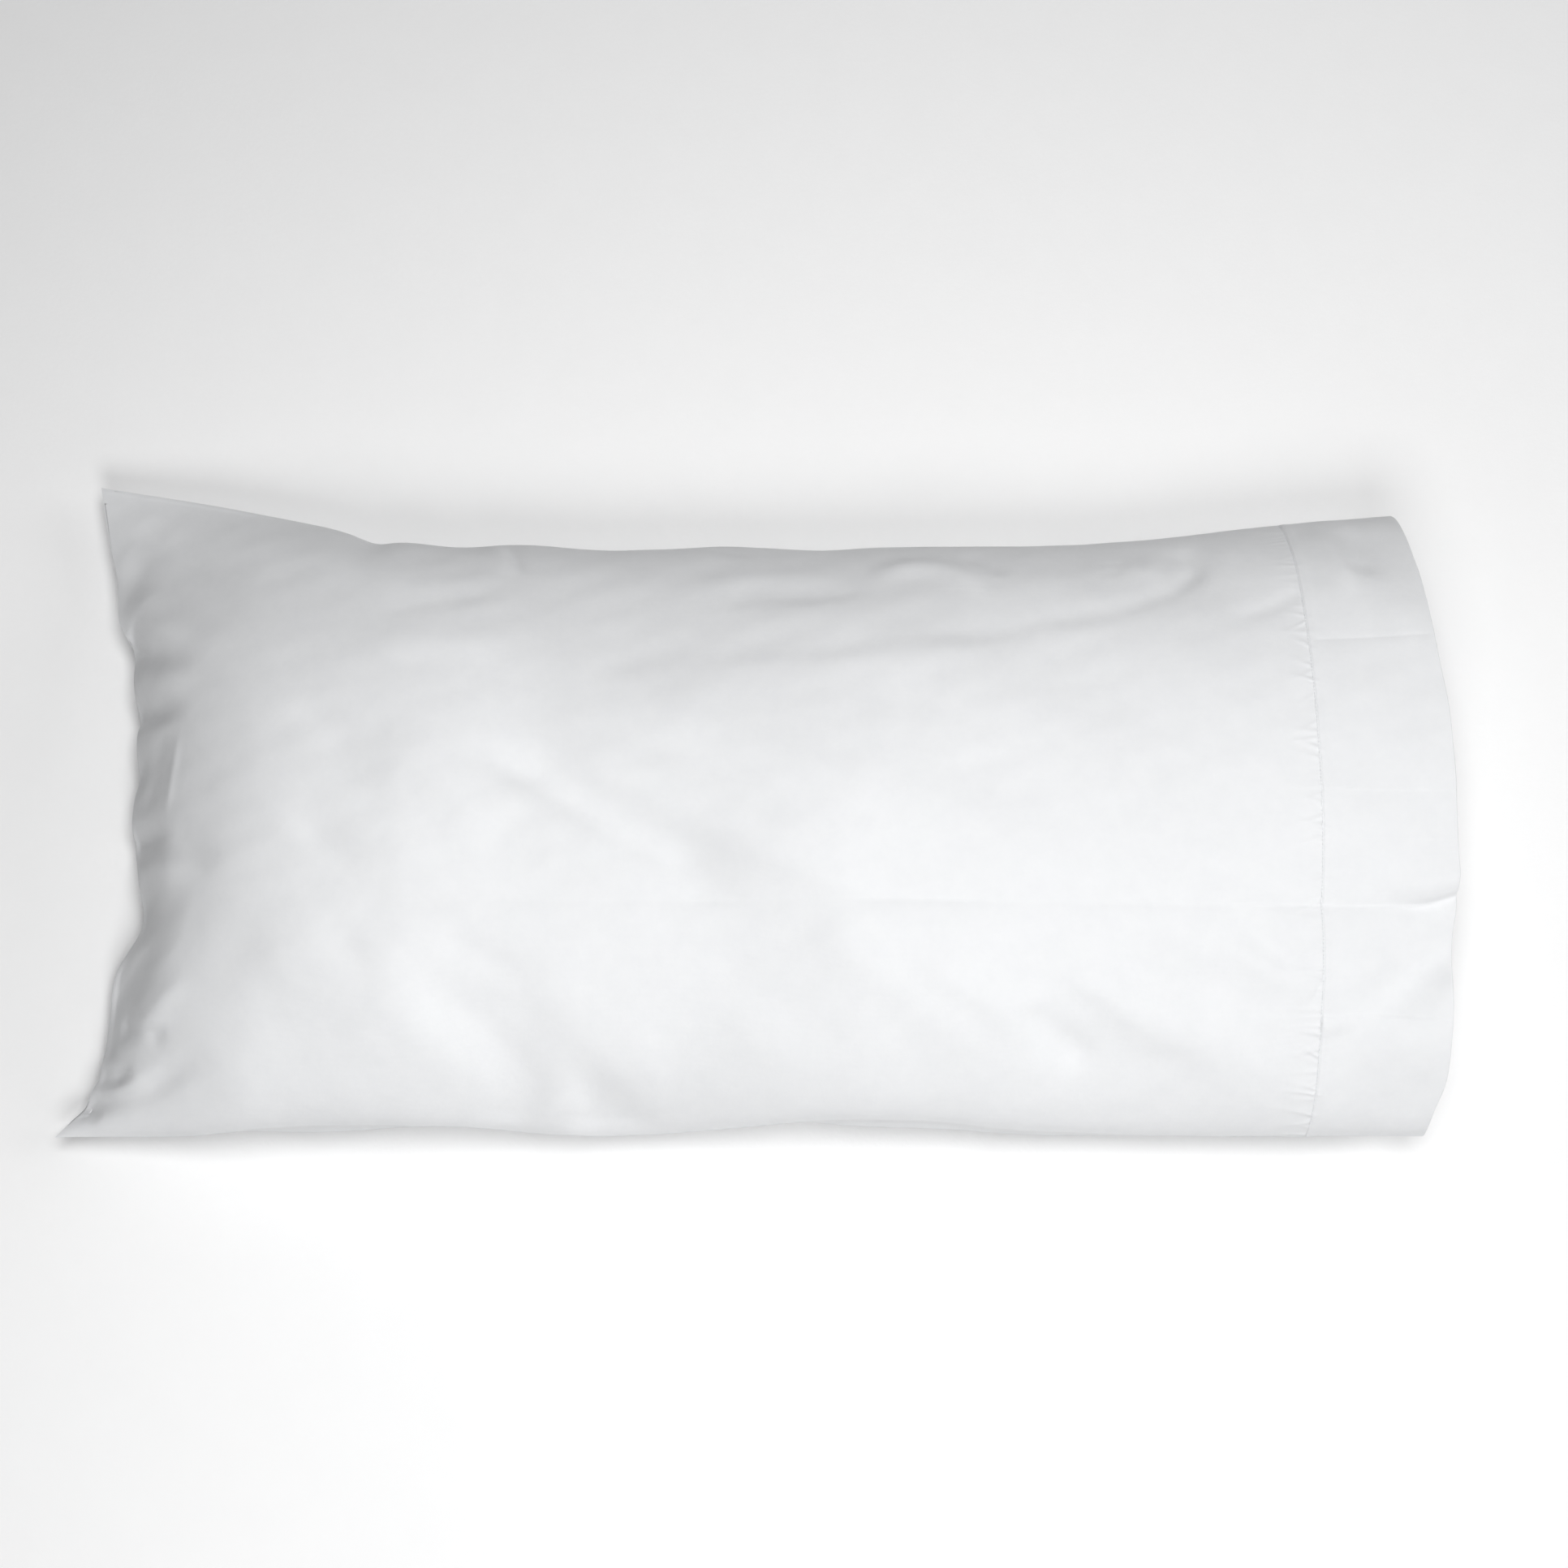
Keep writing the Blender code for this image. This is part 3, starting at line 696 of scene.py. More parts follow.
def dressed(layer, side, beyond):
    """One layer of the case with everything laid into it. side is 1 for the upper, -1 for the lower layer.

    beyond is each point's distance past the cuff seam, negative on the panel.
    """
    x, y = layer[..., 0], layer[..., 1]
    outward = side * normals(layer)
    across, from_side, from_end = run_across(layer), from_sides(layer), run_from_end(layer)
    on_edge = smooth(from_side, 0, 0.024)
    if side > 0:
        lift = lifted(x, y, MAIN_FOLDS) * on_edge * smooth(from_end, 0.0, 0.02)
        lift += lifted(x, y, CREASES, sway=0.0002) * on_edge
        off_corner = smooth(from_side, 0.004, 0.028) * (0.75 + 0.25 * smooth(from_end, 0, 0.010))
        sunk = END_FOLD_DEPTH * lifted(x, y, END_FOLDS) * off_corner
        sunk += lifted(x, y, SIDE_DROPS)
    else:
        sunk = 0
        lift = 0.0012 * wander(x, y, 0.09, 31, stretch=2.0) * on_edge * smooth(from_end, 0, 0.03)
    lift += 0.00014 * wander(x, y, 0.030, 21 + side, stretch=1.6) * on_edge * smooth(from_end, 0, 0.02)
    # A faint unevenness along the diagonals in which the cloth is pulled.
    along, aside = 0.82 * x - 0.57 * y, 0.57 * x + 0.82 * y
    lift += 0.0011 * wander(along, aside, 0.085, 25 + side, stretch=3.5) * smooth(from_side, 0, 0.06)
    lift += gathered(across, beyond, hem_puckers(40 + side)) * smooth(from_side, 0, 0.003)
    lift -= SEAM_DITCH * hump(beyond, DITCH_REACH)
    lift += allowance_ridge(across, beyond)
    lift += SEAM_ROLL * hump(from_side - 0.0022, 0.0016) * smooth(from_end, 0, 0.004)
    placed = layer + outward * lift[..., None]
    placed[..., 2] += sunk
    held = 1 - smooth(from_end, 0.0, 0.045)
    inward, down = 0.1, 0.8
    for place, pull, reach in SEAM_PULLS:
        drawn = pull * hump(y - place, reach) * held
        placed[..., 0] += inward * drawn
        placed[..., 2] -= down * drawn
    placed[..., 2] = np.maximum(placed[..., 2], FLOOR + OFF_FLOOR)
    return placed


def allowance_ridge(across, beyond):
    """The panel's turned-in edge under the cuff's outer ply: a low ridge with a stitched border."""
    ladder = 0.5 + 0.5 * np.sin(2 * np.pi * across / STITCH)
    step = smooth(beyond, 0.0004, 0.0014) * (1 - smooth(beyond, ALLOWANCE - 0.0008, ALLOWANCE + 0.0008))
    border = hump(beyond - ALLOWANCE + 0.0012, 0.0008)
    return 0.00032 * step + 0.00016 * ladder * border


def fine_case(upper, lower):
    """Both layers in full detail, with the rows at which the columns double and the cuff starts."""
    t = np.linspace(0, 1, 2 * PANEL_COLUMNS + 1)
    crowding, bow = 0.35, 0.003
    columns = t - crowding * np.sin(2 * np.pi * t) / (2 * np.pi)
    seam_place = CUFF_SEAM + bow * (1 - (2 * columns - 1) ** 2)
    # The rows lie closer together towards the closed end.
    spread = np.linspace(0, 1, PANEL_ROWS + 1)
    body = 0.42 * spread + 0.58 * spread**1.7
    share = np.linspace(0, 1, DENSE_ROWS)
    on_cuff = [0.0, *BESIDE_CUFF[::-1]]
    layers = []
    for layer, side in ((upper, 1), (lower, -1)):
        dense = refined(layer, share, columns)
        length = run_from_end(dense)
        seam = np.array([np.interp(seam_place[k], dense[:, k, 0], length[:, k]) for k in range(len(t))])
        last = length[-1] - FOLD_RADIUS
        rows = [s * (seam - BESIDE_CUFF[0]) for s in body[:-1]]
        rows += [seam - back for back in BESIDE_CUFF]
        rows += [seam + ahead for ahead in on_cuff]
        past = seam + on_cuff[-1]
        rows += [past + (last - past) * s for s in np.linspace(0, 1, CUFF_ROWS + 1)[1:]]
        places = np.array(rows)
        shares = np.stack([np.interp(places[:, k], length[:, k], share) for k in range(len(t))], axis=1)
        picked = pick(dense, shares)
        layers.append(dressed(picked, side, places - seam))
    doubling = len(body) - 1
    cuff_row = doubling + len(BESIDE_CUFF)
    return *meeting(*layers), doubling, cuff_row


def meeting(upper, lower):
    """Both layers, the lower one brought to the seams and tucked under, the upper one clear of it."""
    reach, tucked_under = 0.02, 0.006
    inward = run_from_end(lower)
    lower = lower + (upper[:1] - lower[:1]) * np.exp(-inward / reach)[..., None]
    lower[..., 0] = np.maximum(lower[..., 0], lower[:1, :, 0] + np.minimum(0.35 * inward, tucked_under))
    for side in (np.s_[:, :1], np.s_[:, -1:]):
        away = np.linalg.norm(lower - lower[side], axis=2)
        lower = lower + (upper[side] - lower[side]) * np.exp(-away / reach)[..., None]
    lower[..., 2] = np.maximum(lower[..., 2], FLOOR + OFF_FLOOR)
    edge = np.minimum(from_sides(upper), run_from_end(upper))
    clear = clear_of(upper, lower, 0.0025 * smooth(edge, 0.003, 0.02))
    upper = upper + (clear - upper) * smooth(edge, 0.002, 0.008)[..., None]
    for seam in seams(open_mouth=True):
        lower[seam] = upper[seam]
    return upper, lower


# Meshes


def grid_faces(rows, columns, start=0, ring=False, turned=False):
    """The quads of a grid numbered row by row. A ring joins its last column to its first."""
    number = start + np.arange(rows * columns).reshape(rows, columns)
    if ring:
        number = np.concatenate([number, number[:, :1]], axis=1)
    return quads(number, turned).tolist()


def panel_mesh(layer, doubling, cuff_row, turned):
    """Points and faces of one panel: every second column as far as the row doubling, then all of them."""
    coarse, fine = layer[:doubling, ::2], layer[doubling : cuff_row + 1]
    faces = grid_faces(*coarse.shape[:2], turned=turned)
    base = coarse.shape[0] * coarse.shape[1]
    faces += grid_faces(*fine.shape[:2], start=base, turned=turned)
    last = base - coarse.shape[1]
    for k in range(coarse.shape[1] - 1):
        a, b, c = last + k, base + 2 * k, last + k + 1
        for face in ((a, b, b + 1), (a, b + 1, c), (c, b + 1, b + 2)):
            faces.append(face[::-1] if turned else face)
    return np.concatenate([coarse.reshape(-1, 3), fine.reshape(-1, 3)]), faces


def joined_ring(upper, lower):
    """Rings round the case: over the upper layer from the near seam, and back under the lower one."""
    return np.concatenate([upper, lower[:, -2:0:-1]], axis=1)


def ring_normals(rings):
    """Outward normals of rings that run +Y over the top and back below."""
    around = np.roll(rings, -1, axis=1) - np.roll(rings, 1, axis=1)
    return unit(np.cross(np.gradient(rings, axis=0), around))


def blurred_ring(rings, times):
    for _ in range(times):
        rings = (np.roll(rings, 1, axis=1) + 2 * rings + np.roll(rings, -1, axis=1)) / 4
    return rings


def cuff_mesh(upper, lower, cuff_row):
    """The folded band: its outer ply to the mouth, the fold, and its inner ply back to the seam."""
    outer = joined_ring(upper[cuff_row:], lower[cuff_row:])
    outward = blurred_ring(ring_normals(outer), 6)
    ahead = unit(outer[-1] - outer[-2])
    folded = []
    for angle in np.linspace(0, math.pi, 8)[1:-1]:
        back = FOLD_RADIUS * (1 - math.cos(angle))
        folded.append(outer[-1] + ahead * FOLD_RADIUS * math.sin(angle) - outward[-1] * back)
    inner_rows = np.r_[len(outer) - 1 : 12 : -3, 12, 6, 0]
    inner = blurred_ring(outer[inner_rows] - outward[inner_rows] * 2 * FOLD_RADIUS, 8)
    rings = np.concatenate([outer, np.array(folded), inner])
    rings[..., 2] = np.maximum(rings[..., 2], FLOOR + 0.0003)
    return rings, grid_faces(*rings.shape[:2], ring=True)


def tube_mesh(path, up, radius, sides, closed):
    """Points and faces of a thread or cord along the path. up is each point's upward direction."""
    ahead = np.roll(path, -1, axis=0) - np.roll(path, 1, axis=0)
    if not closed:
        ahead[0], ahead[-1] = path[1] - path[0], path[-1] - path[-2]
    ahead = unit(ahead)
    side = unit(np.cross(ahead, up))
    top = np.cross(side, ahead)
    angles = np.linspace(0, 2 * np.pi, sides, endpoint=False)
    rings = path[:, None] + radius * (
        side[:, None] * np.cos(angles)[None, :, None] + top[:, None] * np.sin(angles)[None, :, None]
    )
    count = len(path)
    number = np.arange(count * sides).reshape(count, sides)
    number = np.concatenate([number, number[:, :1]], axis=1)
    if closed:
        number = np.concatenate([number, number[:1]])
    corners = [number[:-1, :-1], number[:-1, 1:], number[1:, 1:], number[1:, :-1]]
    faces = np.stack(corners, axis=2).reshape(-1, 4).tolist()
    if not closed:
        faces += [number[0, :-1][::-1].tolist(), number[-1, :-1].tolist()]
    return rings, faces


def stitched(line, up, pitch, closed):
    """A thread's path along a line, and its upward directions. It dips into the cloth between stitches."""
    if closed:
        line, up = np.concatenate([line, line[:1]]), np.concatenate([up, up[:1]])
    along = run(line)
    stitches = max(2, round(along[-1] / pitch))
    per_stitch = 6
    at = np.linspace(0, along[-1], stitches * per_stitch + 1)
    if closed:
        at = at[:-1]
    path, normal = read_at(at, along, line), read_at(at, along, up)
    phase = np.arange(len(at)) / per_stitch
    height = THREAD_RADIUS * 0.9 - THREAD_DIP * np.abs(np.cos(np.pi * phase)) ** 6
    return path + normal * height[:, None], normal


def ribbon(line, inward, wave, seed):
    """A strip of sewn-in cloth just inside a seam, as a grid."""
    start, width = 0.001, 0.008
    across = np.linspace(0, 1, 6)
    along = run(line)
    ripple = wave * wander(along, along * 0, 0.05, seed)
    strip = line[:, None] + inward[:, None] * (start + width * across)[None, :, None]
    strip[..., 2] += ripple[:, None] * across[None, :] ** 1.3
    return strip


# Materials


class Surface:
    """A material with its patterns in the object's own coordinates. The slot name that it keeps is not
    used.
    """

    def __init__(self, name, slot, colour, roughness, sheen=0.0, specular=0.5):
        self.material = bpy.data.materials.new(name)
        self.material.use_nodes = True
        self.slot = slot
        self.shader = self.material.node_tree.nodes["Principled BSDF"]
        self.shader.inputs["Base Color"].default_value = (*colour, 1)
        self.shader.inputs["Roughness"].default_value = roughness
        self.shader.inputs["Specular IOR Level"].default_value = specular
        self.shader.inputs["Sheen Weight"].default_value = sheen
        self.shader.inputs["Sheen Roughness"].default_value = 0.45
        self.place = self.node("ShaderNodeTexCoord").outputs["Object"]

    def node(self, kind, sockets=None, **settings):
        """A new node with these settings, and these values in its sockets."""
        node = self.material.node_tree.nodes.new(kind)
        for name, value in settings.items():
            setattr(node, name, value)
        for name, value in (sockets or {}).items():
            node.inputs[name].default_value = value
        return node

    def link(self, value, node, socket):
        self.material.node_tree.links.new(value, node.inputs[socket])

    def noise(self, scale, detail=2.0, roughness=0.5, distortion=0.0):
        sockets = {"Scale": scale, "Detail": detail, "Roughness": roughness, "Distortion": distortion}
        node = self.node("ShaderNodeTexNoise", sockets)
        self.link(self.place, node, "Vector")
        return node.outputs["Fac"]

    def threads(self, direction, pitch, uneven):
        """Bands of yarn of this pitch, straight across one direction, a little uneven."""
        bands_at_unit_scale = math.pi / 10
        scale = bands_at_unit_scale / pitch
        sockets = {"Scale": scale, "Distortion": uneven, "Detail": 1.0, "Detail Scale": 0.4}
        node = self.node("ShaderNodeTexWave", sockets, bands_direction=direction)
        self.link(self.place, node, "Vector")
        return node.outputs["Fac"]

    def together(self, one, other, operation="ADD"):
        node = self.node("ShaderNodeMath", operation=operation)
        self.link(one, node, 0)
        self.link(other, node, 1)
        return node.outputs[0]

    def bumpy(self, *layers):
        """Bump from several heights, each with its depth in metres, one on the other."""
        before = None
        for height, depth in layers:
            node = self.node("ShaderNodeBump", {"Strength": 1.0, "Distance": depth})
            self.link(height, node, "Height")
            if before:
                self.link(before, node, "Normal")
            before = node.outputs["Normal"]
        self.link(before, self.shader, "Normal")

    def rough(self, value, low, high):
        """Roughness that goes from low to high with the value."""
        sockets = {"From Min": 0.3, "From Max": 0.7, "To Min": low, "To Max": high}
        node = self.node("ShaderNodeMapRange", sockets)
        self.link(value, node, "Value")
        self.link(node.outputs["Result"], self.shader, "Roughness")

    def tinted(self, value, dark, light):
        """Colour that drifts between two close tones."""
        ramp = self.node("ShaderNodeValToRGB")
        for element, position, tone in zip(ramp.color_ramp.elements, (0.3, 0.7), (dark, light)):
            element.position = position
            element.color = (*tone, 1)
        self.link(value, ramp, "Fac")
        self.link(ramp.outputs["Color"], self.shader, "Base Color")


def percale():
    """Crisp plain-weave cotton: fine even yarns with slubs, a soft dry surface and faint wear wrinkles."""
    cotton = Surface("white_percale", "percale", (0.80, 0.81, 0.82), 0.82, sheen=0.12, specular=0.25)
    weave = cotton.together(cotton.threads("X", 0.00055, 0.6), cotton.threads("Y", 0.0006, 0.6))
    slubs = cotton.noise(420, detail=3, roughness=0.6)
    grain = cotton.noise(110, detail=4, roughness=0.65)
    wrinkles = cotton.noise(34, detail=5, roughness=0.55, distortion=0.5)
    drift = cotton.together(cotton.noise(9, detail=3), slubs, "MULTIPLY")
    clouds = cotton.noise(60, detail=6, roughness=0.7)
    cotton.tinted(clouds, (0.795, 0.803, 0.815), (0.825, 0.832, 0.842))
    cotton.rough(drift, 0.76, 0.90)
    cotton.bumpy((weave, 0.00003), (slubs, 0.00005), (grain, 0.00008), (wrinkles, 0.0002))
    return cotton


def sewing_thread():
    """Twisted cotton-wrapped sewing thread with a slight lustre."""
    thread = Surface("white_thread", "thread", (0.74, 0.75, 0.76), 0.5, sheen=0.2, specular=0.4)
    twist = thread.threads("DIAGONAL", 0.0004, 1.0)
    thread.tinted(thread.noise(900, detail=2), (0.66, 0.67, 0.69), (0.80, 0.81, 0.82))
    thread.rough(twist, 0.45, 0.62)
    thread.bumpy((twist, 0.00008))
    return thread


def ticking():
    """Dense cotton ticking with a tone-on-tone woven stripe."""
    cover = Surface("white_ticking", "ticking", (0.78, 0.78, 0.77), 0.78, sheen=0.15, specular=0.3)
    stripe = cover.threads("Y", 0.012, 0.0)
    twill = cover.threads("DIAGONAL", 0.0009, 0.4)
    yarn = cover.noise(700, detail=3, roughness=0.6)
    wrinkles = cover.noise(40, detail=5, roughness=0.55, distortion=0.4)
    cover.tinted(stripe, (0.755, 0.757, 0.75), (0.80, 0.80, 0.795))
    cover.rough(stripe, 0.86, 0.62)
    cover.bumpy((twill, 0.00005), (yarn, 0.00005), (wrinkles, 0.0003))
    return cover


def fibre():
    """Blown polyester fibre: soft, pale and matted."""
    fill = Surface("white_fibre", "fibre", (0.88, 0.88, 0.87), 0.95, sheen=0.4, specular=0.2)
    tufts = fill.noise(60, detail=8, roughness=0.7, distortion=1.5)
    hairs = fill.noise(600, detail=6, roughness=0.7, distortion=3.0)
    fill.tinted(tufts, (0.80, 0.80, 0.79), (0.92, 0.92, 0.91))
    fill.bumpy((tufts, 0.004), (hairs, 0.0008))
    return fill


def label_satin():
    """Woven satin ribbon: smooth floats one way, a firmer edge the other."""
    satin = Surface("satin_label", "label", (0.84, 0.84, 0.85), 0.4, sheen=0.3, specular=0.5)
    floats = satin.threads("X", 0.0004, 0.5)
    ribs = satin.threads("Y", 0.0012, 0.2)
    satin.tinted(satin.noise(300, detail=3), (0.80, 0.80, 0.82), (0.87, 0.87, 0.88))
    satin.rough(floats, 0.32, 0.5)
    satin.bumpy((floats, 0.00004), (ribs, 0.00005))
    return satin


def studio_sheet():
    """A pale seamless studio sheet with a barely visible grain."""
    sheet = Surface("studio_floor", None, (0.93, 0.93, 0.93), 0.75, specular=0.2)
    sheet.tinted(sheet.noise(25, detail=6, roughness=0.7), (0.955, 0.955, 0.955), (0.97, 0.97, 0.97))
    sheet.bumpy((sheet.noise(300, detail=3), 0.0001))
    return sheet


# The pieces


def make_piece(name, points, faces, surface, body, node):
    """A piece that rides on the body in place of the CAD node."""
    mesh = bpy.data.meshes.new(name)
    mesh.from_pydata(np.asarray(points).reshape(-1, 3).tolist(), [], [list(map(int, f)) for f in faces])
    mesh.update()
    mesh.shade_smooth()
    mesh.materials.append(surface.material)
    piece = bpy.data.objects.new(name, mesh)
    bpy.context.scene.collection.objects.link(piece)
    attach(piece, body)
    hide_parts(node)
    return piece


def thickened(piece, thickness, offset=0):
    """Gives a piece of thin cloth its thickness, on both sides alike unless offset says otherwise."""
    ply = piece.modifiers.new("Ply", "SOLIDIFY")
    ply.thickness, ply.offset = thickness, offset


def sinks(piece):
    """Gives the piece a mesh of its own."""
    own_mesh(piece)


def make_case(cloth, thread, satin):
    upper, lower = case_form(SIM_ROWS, SIM_COLUMNS)
    cut = FLAT_LENGTH * SLACK_ALONG, FLAT_WIDTH * SLACK_ACROSS
    upper, lower = relax(upper, lower, cut, hold=0.0005, open_mouth=True, seed=4)
    upper, lower, doubling, cuff_row = fine_case(upper, lower)

    upper_mesh = panel_mesh(upper, doubling, cuff_row, turned=False)
    lower_mesh = panel_mesh(lower, doubling, cuff_row, turned=True)
    top = make_piece("case_upper_panel", *upper_mesh, cloth, "pillowcase", "upper_panel")
    under = make_piece("case_lower_panel", *lower_mesh, cloth, "pillowcase", "lower_panel")
    cuff_band = cuff_mesh(upper, lower, cuff_row)
    cuff = make_piece("case_mouth_cuff", *cuff_band, cloth, "pillowcase", "mouth_cuff")

    ring = joined_ring(upper[cuff_row - 1 : cuff_row + 2], lower[cuff_row - 1 : cuff_row + 2])
    path, up = stitched(ring[1], ring_normals(ring)[1], STITCH, closed=True)
    seam = tube_mesh(path, up, THREAD_RADIUS, 6, closed=True)
    stitches = make_piece("cuff_seam_stitches", *seam, thread, "pillowcase", "cuff_seam_thread")

    # Each inside seam: the points along it, those further in, and its ripple.
    middle = (upper + lower) / 2
    side_rows, end_columns = np.s_[6:cuff_row:2], np.s_[24:-24:3]
    for name, node, at, inside, wave, seed in (
        ("near_seam_allowance", "near_side_seam", (side_rows, 0), (side_rows, 12), 0.0012, 51),
        ("far_seam_allowance", "far_side_seam", (side_rows, -1), (side_rows, -13), 0.0012, 50),
        ("end_seam_allowance", "end_seam", (0, end_columns), (10, end_columns), 0.0010, 61),
    ):
        strip = ribbon(upper[at], unit(middle[inside] - upper[at]), wave, seed)
        piece = make_piece(name, strip, grid_faces(*strip.shape[:2]), cloth, "pillowcase", node)
        thickened(piece, 0.0007)
        sinks(piece)

    label = make_case_label(upper, cuff_row, satin)
    for piece in (top, under, cuff, stitches, label):
        sinks(piece)
    return upper, lower


def rows_between(layer, column, low, high, count):
    """The rows of the layer that lie nearest to evenly spaced places along X, read in one column."""
    return [int(np.abs(layer[:, column, 0] - x).argmin()) for x in np.linspace(low, high, count)]


def make_case_label(upper, cuff_row, satin):
    """The care label caught in the near seam, just inside the cuff, lying up against the upper panel."""
    low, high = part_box("case_care_label")
    rows = rows_between(upper[: cuff_row + 1], 40, low.x, high.x, 9)
    columns = np.arange(8, 60, 4)
    patch = upper[np.ix_(rows, columns)]
    droop = 0.0022 + 0.0012 * np.linspace(0, 1, len(columns))[None, :, None] ** 2
    points = patch - normals(patch) * droop
    faces = grid_faces(*points.shape[:2])
    label = make_piece("case_label", points, faces, satin, "pillowcase", "case_care_label")
    thickened(label, 0.0003)
    return label


def insert_puckers(layer, side):
    """How far the gathers along the piping and the fill's unevenness lift one layer of the ticking."""
    x, y = layer[..., 0], layer[..., 1]
    from_side, from_end = from_sides(layer), from_sides(layer.transpose(1, 0, 2)).T
    edge = np.minimum(from_side, from_end)
    beside_side = wander(x, 0 * x, 0.022, 71 + side) * np.exp(-from_side / 0.022)
    beside_end = wander(y, 0 * y, 0.020, 75 + side) * np.exp(-from_end / 0.024)
    lift = 0.0017 * (beside_side + beside_end) * smooth(edge, 0, 0.006)
    return lift + 0.0010 * wander(x, y, 0.11, 79 + side, stretch=1.5) * smooth(edge, 0, 0.03)


def make_insert(case_upper, case_lower, cover, thread, fill, satin):
    upper, lower = insert_form(INSERT_ROWS, INSERT_COLUMNS)
    length = run(upper[:, INSERT_COLUMNS // 2])[-1]
    width = run(upper[INSERT_ROWS // 2])[-1]
    cut = SLACK_ALONG * length, SLACK_ACROSS * width
    upper, lower = relax(upper, lower, cut, hold=0.0006, open_mouth=False, seed=5)
    rows, columns = np.linspace(0, 1, FINE_INSERT_ROWS), np.linspace(0, 1, FINE_INSERT_COLUMNS)
    fine = []
    for layer, side in ((upper, 1), (lower, -1)):
        layer = refined(layer, rows, columns)
        layer = layer + side * normals(layer) * insert_puckers(layer, side)[..., None]
        layer[..., 2] = np.maximum(layer[..., 2], INSERT_BOTTOM)
        fine.append(layer)
    under_case, over_case = 0.0035, 0.002
    upper = clear_of(fine[0], case_upper, -under_case)
    lower = clear_of(fine[1], case_lower, over_case)
    for seam in seams(open_mouth=False):
        lower[seam] = upper[seam]
    size = upper.shape[:2]
    top = make_piece("insert_upper_ticking", upper, grid_faces(*size), cover, "insert", "upper_ticking")
    turned = grid_faces(*size, turned=True)
    under = make_piece("insert_lower_ticking", lower, turned, cover, "insert", "lower_ticking")

    line = piped_edge(upper)
    up = np.tile([0.0, 0.0, 1.0], (len(line), 1))
    piping = tube_mesh(line, up, CORD_RADIUS, 12, closed=True)
    make_piece("insert_piping", *piping, cover, "insert", "edge_cord")
    make_filling(upper, lower, fill)
    make_closing_stitches(upper, thread)
    make_insert_label(upper, satin)


def piped_edge(layer):
    """The insert's seam line, once round, evenly spaced."""
    loop = np.concatenate([layer[:-1, 0], layer[-1, :-1], layer[:0:-1, -1], layer[0, :0:-1]])
    closed = np.concatenate([loop, loop[:1]])
    along = run(closed)
    return read_at(np.linspace(0, along[-1], PIPING_POINTS, endpoint=False), along, closed)


def make_filling(upper, lower, fill):
    """One mass of fibre just inside the ticking."""
    inset, inside = 0.0025, np.s_[4:-4:3, 4:-4:3]
    layers = []
    for layer, side in ((upper, 1), (lower, -1)):
        layers.append(layer[inside] - side * inset * normals(layer)[inside])
    rows, columns = layers[0].shape[:2]
    first = grid_faces(rows, columns)
    second = grid_faces(rows, columns, start=rows * columns, turned=True)
    rim = [(0, c) for c in range(columns)] + [(r, columns - 1) for r in range(1, rows)]
    rim += [(rows - 1, c) for c in range(columns - 2, -1, -1)] + [(r, 0) for r in range(rows - 2, 0, -1)]
    number = [r * columns + c for r, c in rim]
    wall = []
    for a, b in zip(number, number[1:] + number[:1]):
        wall.append((a, b, b + rows * columns, a + rows * columns))
    points = np.concatenate([layer.reshape(-1, 3) for layer in layers])
    mass = make_piece("insert_fibre_fill", points, first + second + wall, fill, "insert", "fibre_fill")


def make_closing_stitches(upper, thread):
    """The machine stitching that closes the slot the fibre was blown in through, along the front edge."""
    low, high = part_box("closing_thread")
    beside_front = -4
    row = upper[beside_front]
    chosen = (row[:, 1] > low.y) & (row[:, 1] < high.y)
    path, up = stitched(row[chosen], normals(upper)[beside_front][chosen], STITCH * 1.2, closed=False)
    seam = tube_mesh(path, up, THREAD_RADIUS, 6, closed=False)
    make_piece("insert_closing_stitches", *seam, thread, "insert", "closing_thread")


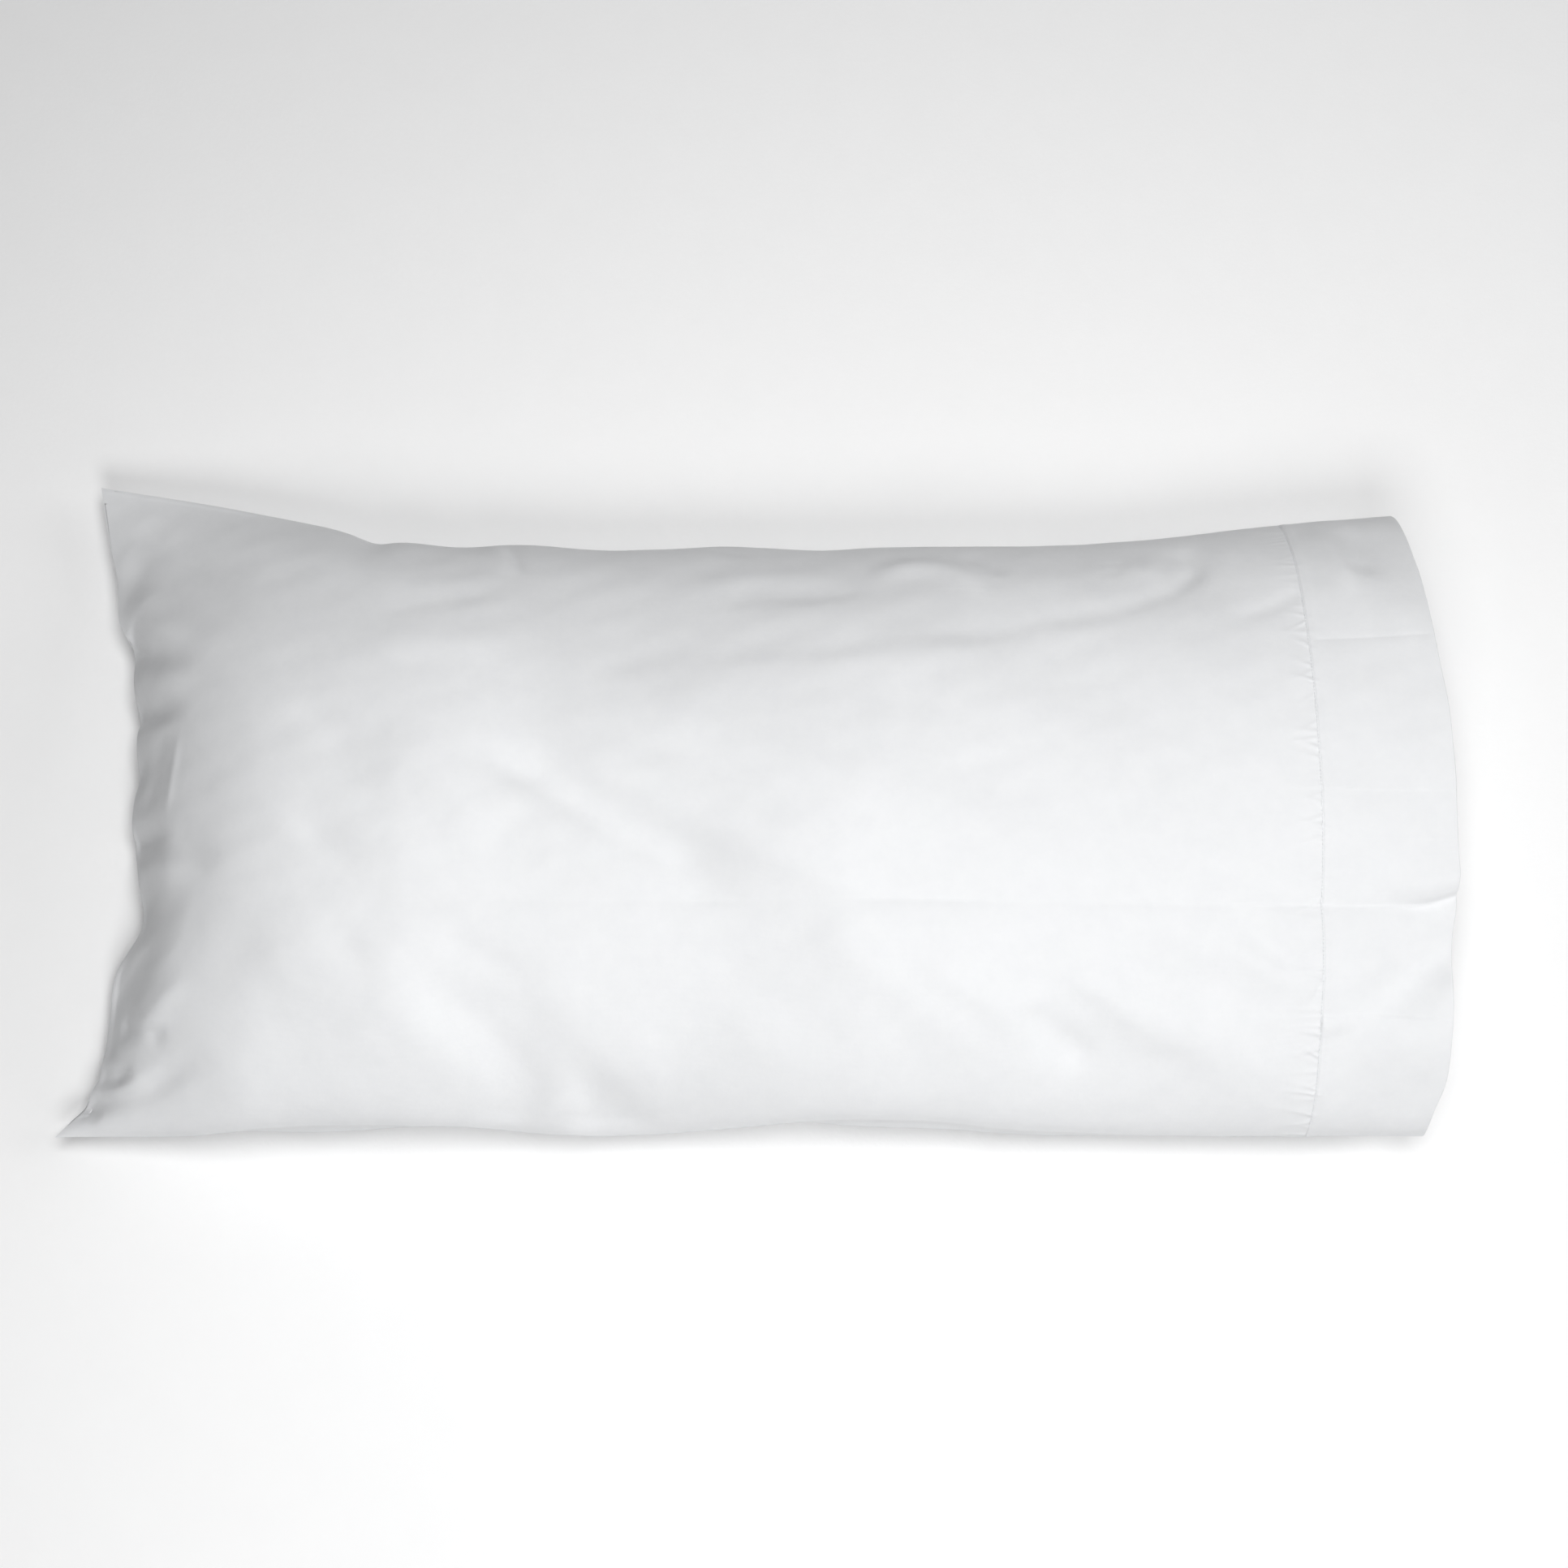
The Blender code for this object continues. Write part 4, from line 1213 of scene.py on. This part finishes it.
def make_insert_label(upper, satin):
    """The care label caught under the near edge's piping, lying up over the ticking."""
    low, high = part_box("insert_care_label")
    rows = rows_between(upper, 10, low.x, high.x, 10)
    columns = np.arange(0, 17)
    chosen = np.ix_(rows, columns)
    lift = 0.0006 + 0.0016 * np.linspace(0, 1, len(columns))[None, :, None] ** 2
    points = upper[chosen] + normals(upper)[chosen] * lift
    faces = grid_faces(*points.shape[:2])
    label = make_piece("insert_label", points, faces, satin, "insert", "insert_care_label")
    thickened(label, 0.0004, offset=1)


# Camera, floor and light


def make_camera():
    tilt = math.radians(75.5)
    distance = 1.872
    target = Vector((0.0285, 0.0047, 0.07))
    data = bpy.data.cameras.new("camera")
    data.lens = 59
    data.sensor_width = 36
    camera = bpy.data.objects.new("camera", data)
    camera.location = target + distance * Vector((0, -math.cos(tilt), math.sin(tilt)))
    camera.rotation_euler = (math.pi / 2 - tilt, 0, 0)
    bpy.context.scene.collection.objects.link(camera)
    bpy.context.scene.camera = camera


def make_floor():
    bpy.ops.mesh.primitive_plane_add(size=12, location=(0, 0, FLOOR))
    floor = bpy.context.object
    floor.name = "floor"
    floor.data.materials.append(studio_sheet().material)


def soft_light(name, place, size, energy):
    """A round softbox that faces the pillow's middle."""
    data = bpy.data.lights.new(name, "AREA")
    data.shape = "DISK"
    data.size = size
    data.energy = energy
    lamp = bpy.data.objects.new(name, data)
    lamp.location = place
    lamp.rotation_euler = (Vector((0, 0, 0.1)) - Vector(place)).to_track_quat("-Z", "Y").to_euler()
    bpy.context.scene.collection.objects.link(lamp)


def make_lights():
    """A softbox overhead, one over the near side and a weak one past the mouth."""
    soft_light("overhead", (0.2, -0.1, 2.35), 1.2, 33.5)
    soft_light("front", (0.15, -1.45, 1.75), 0.9, 18.5)
    soft_light("mouth_side", (3.0, 0.3, 1.8), 1.6, 23)
    world = bpy.data.worlds.new("world")
    bpy.context.scene.world = world
    world.use_nodes = True
    background = world.node_tree.nodes["Background"]
    background.inputs["Color"].default_value = (0.97, 0.98, 1, 1)
    background.inputs["Strength"].default_value = 0.06
    bpy.context.scene.view_settings.view_transform = "Standard"


CLOTH, THREAD, SATIN = percale(), sewing_thread(), label_satin()
CASE_LAYERS = make_case(CLOTH, THREAD, SATIN)
make_insert(*CASE_LAYERS, ticking(), THREAD, fibre(), SATIN)
make_camera()
make_floor()
make_lights()
